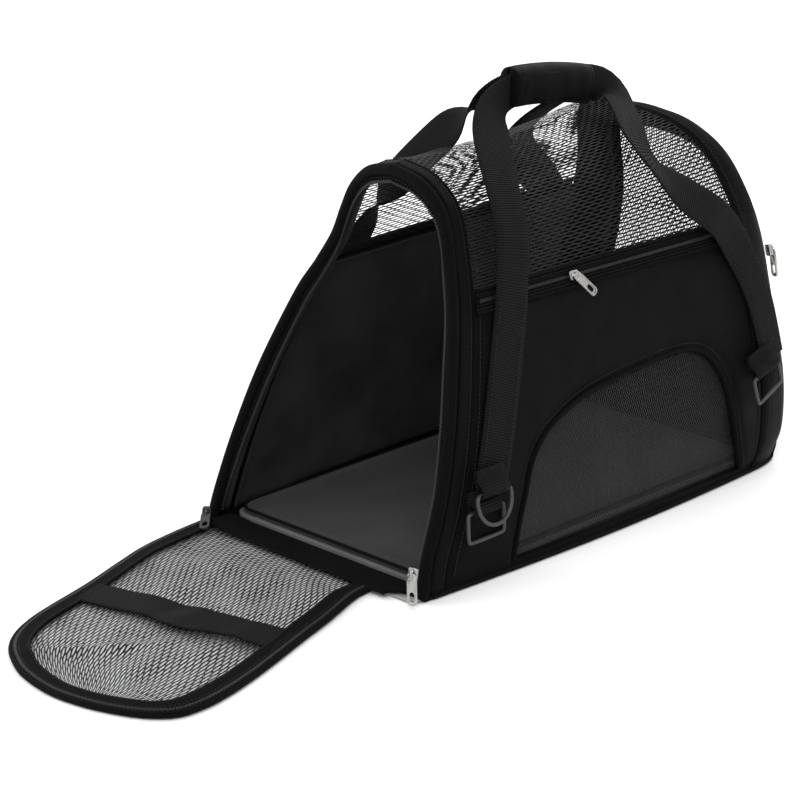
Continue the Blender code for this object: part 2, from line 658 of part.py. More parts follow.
def main():
    base_pieces()
    side_pieces()
    roof_pieces()
    end_pieces()
    rear_door_pieces()
    door_pieces()
    strap_pieces()
    ring_pieces()
    slider_pieces()
    bpy.context.view_layer.update()
    turn_about(["door_hinge_strip"], (0, DOOR_HINGE_Y, DOOR_HINGE_Z))
    turn_about(["door_border", "door_lower_mesh", "door_upper_mesh", "door_band"],
               (0, DOOR_HINGE_Y - DOOR_PIVOT_V, DOOR_HINGE_Z))
    turn_about(["rear_lower_panel", "rear_mesh"], (0, REAR_HINGE_Y, REAR_HINGE_Z))
    for side, label in ((1, "near"), (-1, "far")):
        turn_about([f"{label}_handle_loop", f"{label}_grip_pad"], (side * LOOP_HINGE[0], *LOOP_HINGE[1:]))


APEX = float(SIDE_STEPS + ROOF_STEPS)
FRONT = full_arch(half_arch(FRONT_SIDE, FRONT_ROOF))
REAR = full_arch(half_arch(REAR_SIDE, REAR_ROOF))
REAR_RIM = [p + (REAR_END_CENTRE - p).normalized() * REAR_INSET for p in REAR]
clear_scene()
PARTS, CUTTERS = collection("pet_carrier_bag"), collection("cutters")
main()
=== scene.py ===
import math

import bmesh
import bpy
from mathutils import Matrix, Vector, noise


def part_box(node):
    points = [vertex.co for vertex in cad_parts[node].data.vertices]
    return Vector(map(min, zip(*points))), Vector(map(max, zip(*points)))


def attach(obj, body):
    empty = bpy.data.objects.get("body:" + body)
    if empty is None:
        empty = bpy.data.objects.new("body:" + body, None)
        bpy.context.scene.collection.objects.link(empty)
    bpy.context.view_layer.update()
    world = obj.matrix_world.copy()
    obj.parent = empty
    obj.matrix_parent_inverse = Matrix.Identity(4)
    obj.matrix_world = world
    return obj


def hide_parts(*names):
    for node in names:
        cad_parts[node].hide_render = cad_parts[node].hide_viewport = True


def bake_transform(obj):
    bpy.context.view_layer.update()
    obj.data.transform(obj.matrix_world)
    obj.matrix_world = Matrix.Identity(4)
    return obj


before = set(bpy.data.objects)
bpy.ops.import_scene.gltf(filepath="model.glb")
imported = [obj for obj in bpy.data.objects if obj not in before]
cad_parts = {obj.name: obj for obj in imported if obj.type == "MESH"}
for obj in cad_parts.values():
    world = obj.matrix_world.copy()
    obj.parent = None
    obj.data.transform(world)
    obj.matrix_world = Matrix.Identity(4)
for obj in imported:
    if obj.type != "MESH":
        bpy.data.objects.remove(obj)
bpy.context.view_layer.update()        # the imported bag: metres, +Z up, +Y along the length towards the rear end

# Shapes below are in millimetres, in the frame of the CAD, and are scaled when a mesh is made.
MM = 0.001

# Each arch from its near foot up to the top of the side, then over half of the roof.
FRONT_SIDE = [(133, -237, 4.5), (131, -230, 30), (129, -210, 78), (118, -187, 140), (97, -162, 205),
              (83, -148, 235)]
FRONT_ROOF = [(83, -148, 235), (70, -139, 262), (62, -135, 286), (51, -134, 308), (30, -136, 326),
              (0, -139, 334)]
REAR_SIDE = [(138, 244, 4.5), (140, 255, 30), (137, 258, 80), (125, 256, 140), (109, 255, 205),
             (100, 252, 235)]
REAR_ROOF = [(100, 252, 235), (91, 244, 262), (79, 227, 297), (60, 205, 324), (33, 181, 339), (0, 160, 345)]
# Points inside the two ends, towards which their rims are set in.
FRONT_END_CENTRE = Vector((0, -190, 120))
REAR_END_CENTRE = Vector((0, 262, 130))
REAR_INSET = 22
# Along an arch, s counts the steps of a side and of half of the roof; each step has FINE points.
SIDE_STEPS, ROOF_STEPS, FINE = 8, 8, 6
APEX = SIDE_STEPS + ROOF_STEPS
ROOF_SAG, BELLY = 7.0, 9.0
# Places of the seams, as shares of the way from the front arch to the rear one.
GUSSET_FRONT, SEAM_FRONT, SEAM_REAR = 0.01, 0.05, 0.9
BAND_FOOT, ZIP_S = SIDE_STEPS - 0.62, SIDE_STEPS - 0.3
PANEL_THICK = 4.0
SIDES = ((1, "near"), (-1, "far"))

BASE_REAR_Y, MAT_CORNER, MAT_PLAY = 244.0, 16.0, 5.0
# Outline of the window as (y, z), from its front foot to its rear one.
WINDOW = [(-135, 9), (-127, 34), (-119, 56), (-105, 88), (-84, 109), (-56, 122), (-22, 131), (24, 136),
          (70, 139), (104, 139), (123, 136), (138, 129), (150, 117), (160, 97), (167, 64), (174, 24),
          (178, 9)]

DOOR_HINGE_Y, DOOR_PIVOT_V, DOOR_SKEW = -241.0, 80.0, math.radians(12)
# Edge of the flap as (u, v), u to the near side and v away from its foot, from its near foot round its tip.
FLAP_EDGE = [(84, 3), (91, 30), (97, 54), (104, 100), (108, 144), (113, 190), (116, 225), (117, 258),
             (115, 285), (107, 309), (90, 323), (66, 331), (32, 335), (-4, 332), (-40, 319), (-64, 303),
             (-84, 283), (-97, 259), (-104, 232), (-107, 202), (-110, 150), (-116, 100), (-121, 57),
             (-125, 30), (-128, 3)]
BAND_LOW, BAND_HIGH = 148.0, 182.0

GRIP_X = 2.3
# Middle line of the near loop over the bag, and the front leg of the far one, both with x towards their side.
LOOP_LINE = [(91, -88, 240), (85, -80, 272), (69, -73, 303), (47, -62, 331), (24, -43, 352), (7, -17, 367),
             (GRIP_X, 9, 373), (GRIP_X, 34, 373), (GRIP_X, 60, 371), (GRIP_X, 86, 368), (GRIP_X, 113, 364),
             (13, 129, 356), (38, 120, 341), (62, 108, 322), (82, 109, 301), (95, 127, 279), (104, 153, 259),
             (112, 179, 241)]
FAR_LOOP_FRONT = [(89, -88, 247), (84, -71, 270), (72, -52, 297), (48, -40, 326), (24, -29, 351),
                  (7, -12, 368)]
# Middle lines of the sewn straps as (y, z).
FRONT_STRAP = [(-88, 233), (-130, 148), (-157, 85)]
FAR_FRONT_STRAP = [(-93, 231), (-130, 148), (-157, 85)]
REAR_STRAP = [(189, 228), (207, 198), (220, 160), (226, 106)]
WEBBING_WIDTH, FOLDED_WIDTH, WEBBING_THICK, TAB_WIDTH = 38.0, 31.0, 2.0, 34.0
GRIP_START, GRIP_END, GRIP_Z, GRIP_TILT, GRIP_INNER_X = 4.0, 109.0, 372.0, math.atan2(-9, 80), 0.35

# Where the rings' bars hang on a side, as (y, z).
D_RING_PLACE, SQUARE_RING_PLACE, REAR_RING_PLACE = (-162.0, 82.0), (-168.0, 66.0), (207.0, 100.0)
TOP_SLIDER_Y, TOP_PULL_LEAN = -17.0, math.radians(39)
# Length, gap, width and height of stitches; length and gap of a zip's teeth.
STITCH, RIM_STITCH, GRIP_STITCH = (2.6, 1.3, 0.7, 0.5), (2.4, 1.3, 0.6, 0.5), (2.2, 1.2, 0.7, 0.6)
TOOTH = (1.1, 0.6)

# The photo's camera: its place in metres, its turn round Z and its angle below the horizon; its lens.
CAMERA_PLACE, CAMERA_TURN, CAMERA_DROP = (1.585, -1.752, 0.918), math.radians(44.35), math.radians(19.4)
CAMERA_LENS, CAMERA_SENSOR = 123.75, 36.0


# ---------------------------------------------------------------- lines and surfaces

def lengths(points, closed=False):
    """Length run along the points up to each one."""
    total = [0.0]
    for p, q in zip(points, points[1:] + (points[:1] if closed else [])):
        total.append(total[-1] + (Vector(q) - Vector(p)).length)
    return total


def evenly(points, steps):
    """Points at even steps of a line's length, both of its ends with them."""
    run = lengths(points)
    line, k = [], 0
    for i in range(steps + 1):
        target = run[-1] * i / steps
        while k < len(points) - 2 and run[k + 1] < target:
            k += 1
        line.append(points[k].lerp(points[k + 1], clamp((target - run[k]) / max(run[k + 1] - run[k], 1e-9))))
    return line


def smooth_line(points, steps):
    """Catmull-Rom curve through the points, read at even steps of its length."""
    points = [Vector(p) for p in points]
    ends = [2 * points[0] - points[1], *points, 2 * points[-1] - points[-2]]
    fine = []
    for a, b, c, d in zip(ends, ends[1:], ends[2:], ends[3:]):
        for t in spread(0, 1, 12)[:-1]:
            fine.append(0.5 * (2 * b + (c - a) * t + (2 * a - 5 * b + 4 * c - d) * t ** 2
                               + (3 * b - a - 3 * c + d) * t ** 3))
    return evenly([*fine, points[-1]], steps)


def spread(low, high, steps):
    """Even values from low to high, both with them."""
    return [low + (high - low) * i / steps for i in range(steps + 1)]


def clamp(value, low=0.0, high=1.0):
    return min(max(value, low), high)


def smooth(value):
    """Eased step from 0 to 1."""
    value = clamp(value)
    return value * value * (3 - 2 * value)


def hump(value, low=0.0, high=1.0):
    """1 halfway from low to high, and 0 at both."""
    return max(math.sin(math.pi * (value - low) / (high - low)), 0)


def full_arch(side, roof):
    half = smooth_line(side, SIDE_STEPS * FINE) + smooth_line(roof, ROOF_STEPS * FINE)[1:]
    return half + [Vector((-p.x, p.y, p.z)) for p in reversed(half[:-1])]


FRONT, REAR = full_arch(FRONT_SIDE, FRONT_ROOF), full_arch(REAR_SIDE, REAR_ROOF)
REAR_RIM = [p + (REAR_END_CENTRE - p).normalized() * REAR_INSET for p in REAR]


def at(line, s):
    """Point of an arch; s runs from 0 at the near foot, over 16 at the apex, to 32 at the far foot."""
    place = clamp(s, 0, 2 * APEX) * FINE
    i = min(int(place), len(line) - 2)
    return line[i].lerp(line[i + 1], place - i)


def body(s, t):
    """Point of the bag's outer skin, t from the front arch to the rear one."""
    low = max(0, 1 - min(s, 2 * APEX - s) / 6) ** 1.5
    bulge = BELLY * low * hump(t)
    return at(FRONT, s).lerp(at(REAR, s), t) + Vector((bulge if s < APEX else -bulge, 0, 0))


def gusset(s, t):
    """Point of the rear gusset, t from its seam, round the corner, to the rear rim."""
    seam, corner, rim = body(s, SEAM_REAR), at(REAR, s), at(REAR_RIM, s)
    return (1 - t) ** 2 * seam + 2 * t * (1 - t) * corner + t ** 2 * rim


def normal(surface, s, t):
    across = surface(s + 0.1, t) - surface(s - 0.1, t)
    along = surface(s, t + 0.01) - surface(s, t - 0.01)
    return along.cross(across).normalized()


def raised(surface, s, t, height):
    return surface(s, t) + normal(surface, s, t) * height


def skin_place(y, z):
    """(surface, s, t) of the near skin's point at (y, z), also round the rear corner."""
    def search(surface, t):
        low, high = 0.0, SIDE_STEPS + 2.0
        for _ in range(22):
            s = (low + high) / 2
            low, high = (s, high) if surface(s, t).z < z else (low, s)
        return s
    surface = gusset if y > body(4, SEAM_REAR).y else body
    low, high = 0.0, 1.0
    for _ in range(18):
        t = (low + high) / 2
        s = search(surface, t)
        low, high = (t, high) if surface(s, t).y < y else (low, t)
    return surface, s, t


def skin(y, z, height, side=1):
    """Point over the skin of a side, and the skin's normal there."""
    surface, s, t = skin_place(y, z)
    out = normal(surface, s, t)
    point = surface(s, t) + out * height
    return Vector((side * point.x, point.y, point.z)), Vector((side * out.x, out.y, out.z))


def on_skin(places, side=1):
    """Line over a side's skin at (y, z, height) places, and the skin's normals there."""
    found = [skin(*place, side) for place in places]
    return [point for point, _ in found], [out for _, out in found]


def side_line(points, steps):
    """Smooth line through (y, z) points, with x left at 0."""
    return smooth_line([(0, y, z) for y, z in points], steps)


def ripple(x, y, seed, size, depth):
    """Soft wandering height for cloth that doesn't lie flat; size is the width of its waves."""
    return depth * noise.noise(Vector((x / size, y / size, seed)))


# ---------------------------------------------------------------- materials

class Shader:
    """A material whose pattern is written as sums of its coordinates, in metres."""

    def __init__(self, name, colour, roughness, coordinates="UV", shine=0.5, **sockets):
        self.material = bpy.data.materials.new(name)
        self.material.use_nodes = True
        self.tree = self.material.node_tree
        self.main = self.tree.nodes["Principled BSDF"]
        self.main.inputs["Base Color"].default_value = (*colour, 1)
        self.main.inputs["Roughness"].default_value = roughness
        self.main.inputs["Specular IOR Level"].default_value = shine
        for socket, value in sockets.items():
            self.main.inputs[socket.replace("_", " ").title()].default_value = value
        self.space = self.tree.nodes.new("ShaderNodeTexCoord").outputs[coordinates]
        split = self.tree.nodes.new("ShaderNodeSeparateXYZ")
        self.tree.links.new(self.space, split.inputs[0])
        self.u, self.v, self.w = split.outputs

    def node(self, kind, *values, **settings):
        made = self.tree.nodes.new(kind)
        for key, value in settings.items():
            setattr(made, key, value)
        for socket, value in zip(made.inputs, values):
            self.feed(socket, value)
        return made.outputs[0]

    def feed(self, socket, value):
        if isinstance(value, bpy.types.NodeSocket):
            self.tree.links.new(value, socket)
        elif value is not None:
            socket.default_value = value

    def math(self, operation, *values):
        return self.node("ShaderNodeMath", *values, operation=operation)

    def plus(self, a, b):
        return self.math("ADD", a, b)

    def times(self, a, b):
        return self.math("MULTIPLY", a, b)

    def turns(self, coordinate, pitch):
        """Angle that goes round once in every pitch, in millimetres."""
        return self.times(coordinate, 2 * math.pi / (pitch * MM))

    def sine(self, coordinate, pitch):
        return self.math("SINE", self.turns(coordinate, pitch))

    def cosine(self, coordinate, pitch):
        return self.math("COSINE", self.turns(coordinate, pitch))

    def noise(self, size, detail=2.0, rough=0.5):
        """Noise from 0 to 1, with grains of about this many millimetres."""
        return self.node("ShaderNodeTexNoise", self.space, None, 1 / (size * MM), detail, rough)

    def share(self, value, low, high, to_low=0.0, to_high=1.0):
        return self.node("ShaderNodeMapRange", value, low, high, to_low, to_high)

    def colour(self, share, dark, light):
        mixed = self.tree.nodes.new("ShaderNodeMix")
        mixed.data_type = "RGBA"
        self.feed(mixed.inputs[0], share)
        mixed.inputs[6].default_value = (*dark, 1)
        mixed.inputs[7].default_value = (*light, 1)
        self.feed(self.main.inputs["Base Color"], mixed.outputs[2])

    def roughness(self, share, low, high):
        self.feed(self.main.inputs["Roughness"], self.share(share, 0, 1, low, high))

    def bump(self, height, depth):
        bumped = self.node("ShaderNodeBump", 1.0, depth * MM)
        self.feed(bumped.node.inputs["Height"], height)
        self.feed(self.main.inputs["Normal"], bumped)


def grey(level, tint=0.0):
    return (level, level, level * (1 + tint))


def nylon(name, level, pitch, rough, shine):
    """Plain-woven nylon: a small weave, soft patches of painted sheen in its colour where its roughness changes
    too, and the slack of large folds.
    """
    made = Shader(name, grey(level), 0.6, shine=shine, sheen_weight=0.006, sheen_roughness=0.45)
    weave = made.times(made.sine(made.u, pitch), made.sine(made.v, pitch))
    cloud, grain = made.noise(60, 4), made.noise(1.6, 2)
    # Painted sheen and highlight: the colour lightens in the cloud's soft patches and where the weave's bump
    # rises; the grain is random tone.
    tone = made.plus(made.times(weave, 0.18), made.plus(cloud, made.times(grain, 0.5)))
    made.colour(made.share(tone, 0.35, 1.05), grey(level * 0.4), grey(level * 2.0, 0.04))
    made.roughness(cloud, *rough)
    folds = made.times(made.noise(42, 1), 26.0)
    made.bump(made.plus(folds, made.plus(weave, made.times(grain, 1.5))), 0.12)
    return made.material


def webbing(name, level, rib, yarn, shine, sheen):
    """Woven tape: ribs across its length, cut up by the yarns that run along it."""
    made = Shader(name, grey(level), 0.6, shine=shine, sheen_weight=sheen, sheen_roughness=0.4)
    along = made.sine(made.u, yarn)
    ribs = made.math("SINE", made.plus(made.turns(made.v, rib), made.times(along, 0.7)))
    height = made.plus(ribs, made.times(along, 0.35))
    grain = made.noise(0.9, 2)
    # Painted highlight and shade: the colour follows the ribs' height, lighter on their tops and darker in the
    # grooves between them; the grain is random tone.
    tone = made.plus(made.share(height, -1.2, 1.2), made.times(grain, 0.4))
    made.colour(made.share(tone, 0.1, 1.2), grey(level * 0.15), grey(level * 4.0, 0.03))
    made.roughness(grain, 0.5, 0.75)
    made.bump(made.plus(height, made.times(grain, 0.4)), 0.35)
    return made.material


def netting(name, pattern, level=0.006, shine=0.15, sheen=0.03, edge=0.05, blur=0.12):
    """Mesh whose holes, where the pattern is over the edge, are let through by the surface's alpha."""
    made = Shader(name, grey(level), 0.6, shine=shine, sheen_weight=sheen, sheen_roughness=0.4)
    lattice = pattern(made)
    hole = made.share(lattice, edge, edge + blur)
    made.feed(made.main.inputs["Alpha"], made.math("SUBTRACT", 1.0, hole))
    grain = made.noise(1.2, 1)
    made.colour(grain, grey(level * 0.5), grey(level * 1.8))
    made.roughness(grain, 0.45, 0.7)
    made.bump(made.times(lattice, -1.0), 0.3)
    return made.material


def knitted(made):
    """Staggered rows of small holes between rounded strands."""
    return made.times(made.cosine(made.u, 2.9), made.cosine(made.v, 4.6))


def slits(across, along, turned=False):
    """Long narrow holes: strands along the mesh's length, tied to each other by short staggered links."""
    def pattern(made):
        wide, long = (made.v, made.u) if turned else (made.u, made.v)
        links = made.times(made.cosine(wide, 2 * across), made.cosine(long, along))
        slack = made.share(made.noise(26, 2), 0.3, 0.7, -0.14, 0.14)
        return made.plus(made.times(links, 0.85), made.plus(made.cosine(wide, across), slack))
    return pattern


def thread(name, level):
    """Sewing thread with a fine twist."""
    made = Shader(name, grey(level), 0.55, "Object", shine=0.2)
    twist = made.sine(made.plus(made.v, made.plus(made.w, made.u)), 0.7)
    # Painted shade and highlight: the colour follows the twist's bump, darker in its grooves and lighter on its
    # ridges.
    made.colour(made.share(twist, -1, 1), grey(level * 0.5), grey(level * 1.5))
    made.roughness(made.noise(0.8), 0.4, 0.7)
    made.bump(twist, 0.1)
    return made.material


def metal(name, colour, rough):
    """Metal with soft clouds of wear and a fine grain."""
    made = Shader(name, colour, 0.25, "Object", metallic=1.0)
    cloud, fine = made.noise(6, 3), made.noise(0.5, 2)
    made.colour(cloud, [c * 0.78 for c in colour], [min(c * 1.08, 1) for c in colour])
    made.roughness(made.plus(made.times(cloud, 0.6), made.times(fine, 0.4)), *rough)
    made.bump(fine, 0.02)
    return made.material


def moulded(name, level, rough=(0.34, 0.55)):
    """Moulded plastic with a fine spark texture."""
    made = Shader(name, grey(level), 0.45, "Object")
    spark, cloud = made.noise(0.45, 2), made.noise(9, 3)
    made.colour(cloud, grey(level * 0.7), grey(level * 1.4, 0.03))
    made.roughness(cloud, *rough)
    made.bump(spark, 0.05)
    return made.material


def felted(name, level, coordinates="UV"):
    """Short-napped cloth."""
    made = Shader(name, grey(level), 0.9, coordinates, 0.2, sheen_weight=0.08, sheen_roughness=0.5)
    nap, cloud = made.noise(1.3, 4, 0.7), made.noise(45, 3)
    tone = made.plus(made.times(nap, 0.6), made.times(cloud, 0.4))
    made.colour(made.share(tone, 0.3, 0.7), grey(level * 0.65), grey(level * 1.35, 0.03))
    made.roughness(nap, 0.8, 0.95)
    made.bump(nap, 0.3)
    return made.material


FABRIC = nylon("outer_nylon", 0.0017, 1.1, (0.26, 0.6), 0.035)
LINING = nylon("lining", 0.016, 0.8, (0.32, 0.45), 0.16)
BINDING = webbing("grosgrain_binding", 0.0016, 1.6, 3.0, 0.028, 0.008)
WEBBING = webbing("ribbed_webbing", 0.0028, 2.3, 1.5, 0.05, 0.015)
MESH = netting("knitted_mesh", knitted, 0.008, 0.2, 0.04, 0.0, 0.1)
FLAP_MESH = netting("flap_mesh", slits(3.0, 14.0), edge=0.08)
ROOF_MESH = netting("roof_mesh_cloth", slits(2.9, 10.0, turned=True))
THREAD, COIL = thread("sewing_thread", 0.012), moulded("zip_coil", 0.006)
NICKEL = metal("nickel_plate", (0.44, 0.43, 0.41), (0.16, 0.34))
STEEL = metal("spring_steel", (0.45, 0.45, 0.46), (0.3, 0.5))
PLASTIC, BLACK_PULL = moulded("ring_plastic", 0.022), moulded("black_coated_pull", 0.012, (0.25, 0.4))
MAT, PATCH = felted("mat_cloth", 0.017), felted("grey_patch_cloth", 0.3)
BOARD = felted("board_wrap", 0.1, "Object")


# ---------------------------------------------------------------- mesh making

def finish(item, body_name, slot, *replaced):
    """Puts a made piece on its body and hides the CAD nodes that it stands for; its slot is not used."""
    if body_name:
        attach(item, body_name)
    if replaced:
        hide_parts(*replaced)
    return item


def smooth_faces(item):
    item.data.polygons.foreach_set("use_smooth", [True] * len(item.data.polygons))


def made_of(name, vertices, faces, uvs, material, sharp=None):
    """Mesh object from points in millimetres; uvs holds one (u, v) for each corner of each face."""
    data = bpy.data.meshes.new(name)
    data.from_pydata([Vector(v) * MM for v in vertices], [], faces)
    layer = data.uv_layers.new(name="UVMap")
    for loop, (u, v) in zip(layer.data, (uv for face in uvs for uv in face)):
        loop.uv = (u * MM, v * MM)
    data.polygons.foreach_set("use_smooth", [True] * len(faces))
    if sharp:
        data.set_sharp_from_angle(angle=math.radians(sharp))
    data.materials.append(material)
    data.update()
    item = bpy.data.objects.new(name, data)
    bpy.context.scene.collection.objects.link(item)
    return item


def grid(name, rows, material, closed=False, uv=None, caps=False):
    """Sheet over rows of points; closed joins each row's ends; uv(point) replaces the measured lengths."""
    count, width = len(rows), len(rows[0])
    us = lengths(rows[count // 2], closed)
    vs = lengths([row[width // 2] for row in rows])
    faces, uvs = [], []
    for i in range(count - 1):
        for j in range(width if closed else width - 1):
            k = (j + 1) % width
            corners = [(i, j, j), (i, k, j + 1), (i + 1, k, j + 1), (i + 1, j, j)]
            faces.append([a * width + b for a, b, _ in corners])
            uvs.append([uv(rows[a][b]) if uv else (us[c], vs[a]) for a, b, c in corners])
    if caps:
        for start, order in ((0, -1), ((count - 1) * width, 1)):
            faces.append([start + k for k in range(width)][::order])
            uvs.append([(us[k], 0.0) for k in range(width)][::order])
    return made_of(name, [p for row in rows for p in row], faces, uvs, material)


def sheet_over(name, firsts, seconds, point, material, **options):
    """Sheet over point(a, b), with a row for each of the firsts."""
    return grid(name, [[point(a, b) for b in seconds] for a in firsts], material, **options)


def side_uv(p):
    return p.y, p.z


def floor_uv(p):
    return p.x, p.y


def thicken(item, thick, offset=-1.0):
    solid = item.modifiers.new("thickness", "SOLIDIFY")
    solid.thickness, solid.offset, solid.use_even_offset = thick * MM, offset, True
    return item


def apply(item):
    """Turns a piece's modifiers into its own mesh."""
    graph = bpy.context.evaluated_depsgraph_get()
    final = item.evaluated_get(graph)
    data = bpy.data.meshes.new_from_object(final, preserve_all_data_layers=True, depsgraph=graph)
    item.modifiers.clear()
    item.data = data
    return item


def circle(radius, count=10, flat=1.0):
    return [(radius * math.cos(2 * math.pi * i / count), flat * radius * math.sin(2 * math.pi * i / count))
            for i in range(count)]


def strap_section(width, thick):
    """Section of webbing: flat faces and rounded edges."""
    a, b = width / 2, thick / 2
    top = [(-a + b, b), (-a / 2, b), (0, b), (a / 2, b), (a - b, b)]
    return [(-a, 0), *top, (a, 0), *[(x, -y) for x, y in reversed(top)]]


def tangent(line, i, cyclic=False):
    """Direction of a line at its point i, not of unit length."""
    if cyclic:
        return line[(i + 1) % len(line)] - line[i - 1]
    return line[min(i + 1, len(line) - 1)] - line[max(i - 1, 0)]


def sweep(name, line, across, section, material, cyclic=False):
    """Carries a closed section along a line; its first axis lies along across, its second square to that."""
    rows = []
    for i, p in enumerate(line):
        along = tangent(line, i, cyclic).normalized()
        side = across(i) if callable(across) else Vector(across[i] if isinstance(across, list) else across)
        up = along.cross(side).normalized()
        side = up.cross(along)
        points = section(i) if callable(section) else section
        rows.append([p + side * a + up * b for a, b in points])
    if cyclic:
        rows.append(rows[0])
    return grid(name, rows, material, closed=True, caps=not cyclic)


def cord_of(name, line, radius, material, cyclic=False, count=10):
    """Round piping along a line."""
    guide, other_guide = Vector((0.31, 0.52, 0.79)), Vector((1, 0, 0))

    def across(i):
        along = tangent(line, i, cyclic)
        clear = along.normalized().cross(guide).length > 0.15
        return along.cross(guide if clear else other_guide)
    return sweep(name, line, across, circle(radius, count), material, cyclic)


def dashes(name, line, outs, material, length, gap, width, height, stagger=0.0):
    """Row of small rounded blocks along a line: stitches, or the teeth of a zip."""
    run = lengths(line)
    vertices, faces = [], []
    step, k, number = length + gap, 0, 0
    place = step / 2
    ring = [(-1, -0.5), (-0.55, -1), (0.55, -1), (1, -0.5), (1, 0.5), (0.55, 1), (-0.55, 1), (-1, 0.5)]
    count = len(ring)
    while place < run[-1] - step / 2:
        while run[k + 1] < place:
            k += 1
        share = (place - run[k]) / max(run[k + 1] - run[k], 1e-9)
        along = (line[k + 1] - line[k]).normalized()
        side = outs[k].lerp(outs[k + 1], share).cross(along).normalized()
        up = along.cross(side)
        centre = line[k].lerp(line[k + 1], share) + side * (stagger if number % 2 else -stagger)
        first = len(vertices)
        for lift, shrink in ((-0.5, 1.0), (0.25, 1.0), (0.5, 0.72)):
            for a, b in ring:
                flat = along * (a * length / 2 * shrink) + side * (b * width / 2 * shrink)
                vertices.append(centre + flat + up * (lift * height))
        for low in (first, first + count):
            for j in range(count):
                i = (j + 1) % count
                faces.append([low + j, low + i, low + count + i, low + count + j])
        faces.append([first + 2 * count + j for j in range(count)])
        faces.append([first + j for j in reversed(range(count))])
        place += step
        number += 1
    uvs = [[(0.0, 0.0)] * len(face) for face in faces]
    return made_of(name, vertices, faces, uvs, material, 50)


def sew(name, line, outs, size=STITCH, body_name="bag"):
    """Row of stitches that rides a body."""
    finish(dashes(name, line, outs, THREAD, *size), body_name, "fabric")


def teeth(name, line, outs, width, height, stagger):
    """One half of a coil zip."""
    return dashes(name, line, outs, COIL, *TOOTH, width, height, stagger)


def along_skin(surface, places, height):
    """Line over a surface at (s, t) places, and the surface's normals there."""
    return [raised(surface, s, t, height) for s, t in places], [normal(surface, s, t) for s, t in places]


def rounded_rectangle(width, length, corner, steps=8):
    outline = []
    for k, (sx, sy) in enumerate([(1, 1), (-1, 1), (-1, -1), (1, -1)]):
        for i in range(steps + 1):
            angle = math.pi / 2 * (k + i / steps)
            outline.append((sx * (width / 2 - corner) + corner * math.cos(angle),
                            sy * (length / 2 - corner) + corner * math.sin(angle)))
    return outline


def dense(outline, step):
    """The points of a closed outline at even distances of about step."""
    points = [Vector((*p, 0)) for p in [*outline, outline[0]]]
    count = max(int(lengths(points)[-1] / step), 3)
    return [(p.x, p.y) for p in evenly(points, count)[:-1]]


def recolour(node, material):
    """Gives a CAD node that stays in view its finished material."""
    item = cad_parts[node]
    item.data.materials.clear()
    item.data.materials.append(material)
    return item


def subdivide(item, name):
    rounder = item.modifiers.new(name, "SUBSURF")
    rounder.levels = rounder.render_levels = 1


def welded(item):
    """Joins a CAD node's facets, whose corners come apart, so that what follows rounds it as one skin."""
    weld = item.modifiers.new("weld", "WELD")
    weld.merge_threshold = 0.00001
    return item


def soften(item, width):
    """Rounds the edges of a CAD node that stays in view."""
    bevel = welded(item).modifiers.new("worn edge", "BEVEL")
    bevel.width, bevel.segments, bevel.limit_method = width * MM, 3, "ANGLE"
    smooth_faces(item)
    item.data.set_sharp_from_angle(angle=math.radians(50))


# ---------------------------------------------------------------- floor of the bag and sides

def base():
    """Cloth under the board, out to the foot of the skin, with piping round it."""
    recolour("base_board", BOARD)
    near = [body(0, t) for t in spread(0.004, SEAM_REAR, 40)] + [gusset(0, t) for t in spread(0.1, 1, 12)]
    outline = [(p.x - 1, min(p.y, BASE_REAR_Y) - 1) for p in near]
    outline += [(-x, y) for x, y in reversed(outline)]
    low, high = 0.2, 2.8
    levels = [(0.02, low), (0.5, low), (0.99, low), (1.0, 1.4), (0.99, high), (0.5, high), (0.02, high)]
    rows = [[Vector((x * share, y * share, z)) for x, y in outline] for share, z in levels]
    floor = grid("base_cloth", rows, FABRIC, closed=True, uv=floor_uv, caps=True)
    finish(floor, "bag", "fabric", "base_panel")
    line = [Vector((x, y, high)) for x, y in outline]
    finish(cord_of("base_piping", line, 2.4, BINDING, cyclic=True), "bag", "fabric")


def mat():
    """Padded mat: flat below, a groove near its edge, softly rippled on top, with piping round it."""
    low, high = (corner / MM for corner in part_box("floor_mat"))
    size = high - low
    outline = dense(rounded_rectangle(size.x - MAT_PLAY, size.y - MAT_PLAY, MAT_CORNER), 9)
    levels = [(0.02, low.z), (0.4, low.z), (0.8, low.z), (0.97, low.z), (0.99, low.z + 0.6),
              (1.0, (low.z + high.z) / 2)]
    levels += [(share, high.z + rise) for share, rise in (
        (0.99, -0.9), (0.975, -0.1), (0.955, -0.5), (0.94, 0.2), (0.88, 1.4), (0.78, 1.9), (0.66, 1.6),
        (0.5, 1.9), (0.34, 1.7), (0.18, 1.9), (0.02, 1.8))]
    rows = []
    for share, z in levels:
        depth = 1.6 if z > high.z else 0.0
        rows.append([Vector((x * share, y * share, z + ripple(x * share, y * share, 7, 60, depth)))
                     for x, y in outline])
    pad = grid("mat_pad", rows, MAT, closed=True, uv=floor_uv, caps=True)
    finish(pad, "mat", "mat", "floor_mat")
    edge = [Vector((x * 0.99, y * 0.995, high.z - 0.6)) for x, y in outline]
    finish(cord_of("mat_piping", edge, 1.4, BINDING, cyclic=True), "mat", "fabric")


def window_line(steps, grow=0.0):
    """The window's outline, moved outwards by grow."""
    middle = Vector((0, 35, 60))
    return [p + (p - middle).normalized() * grow for p in side_line(WINDOW, steps)]


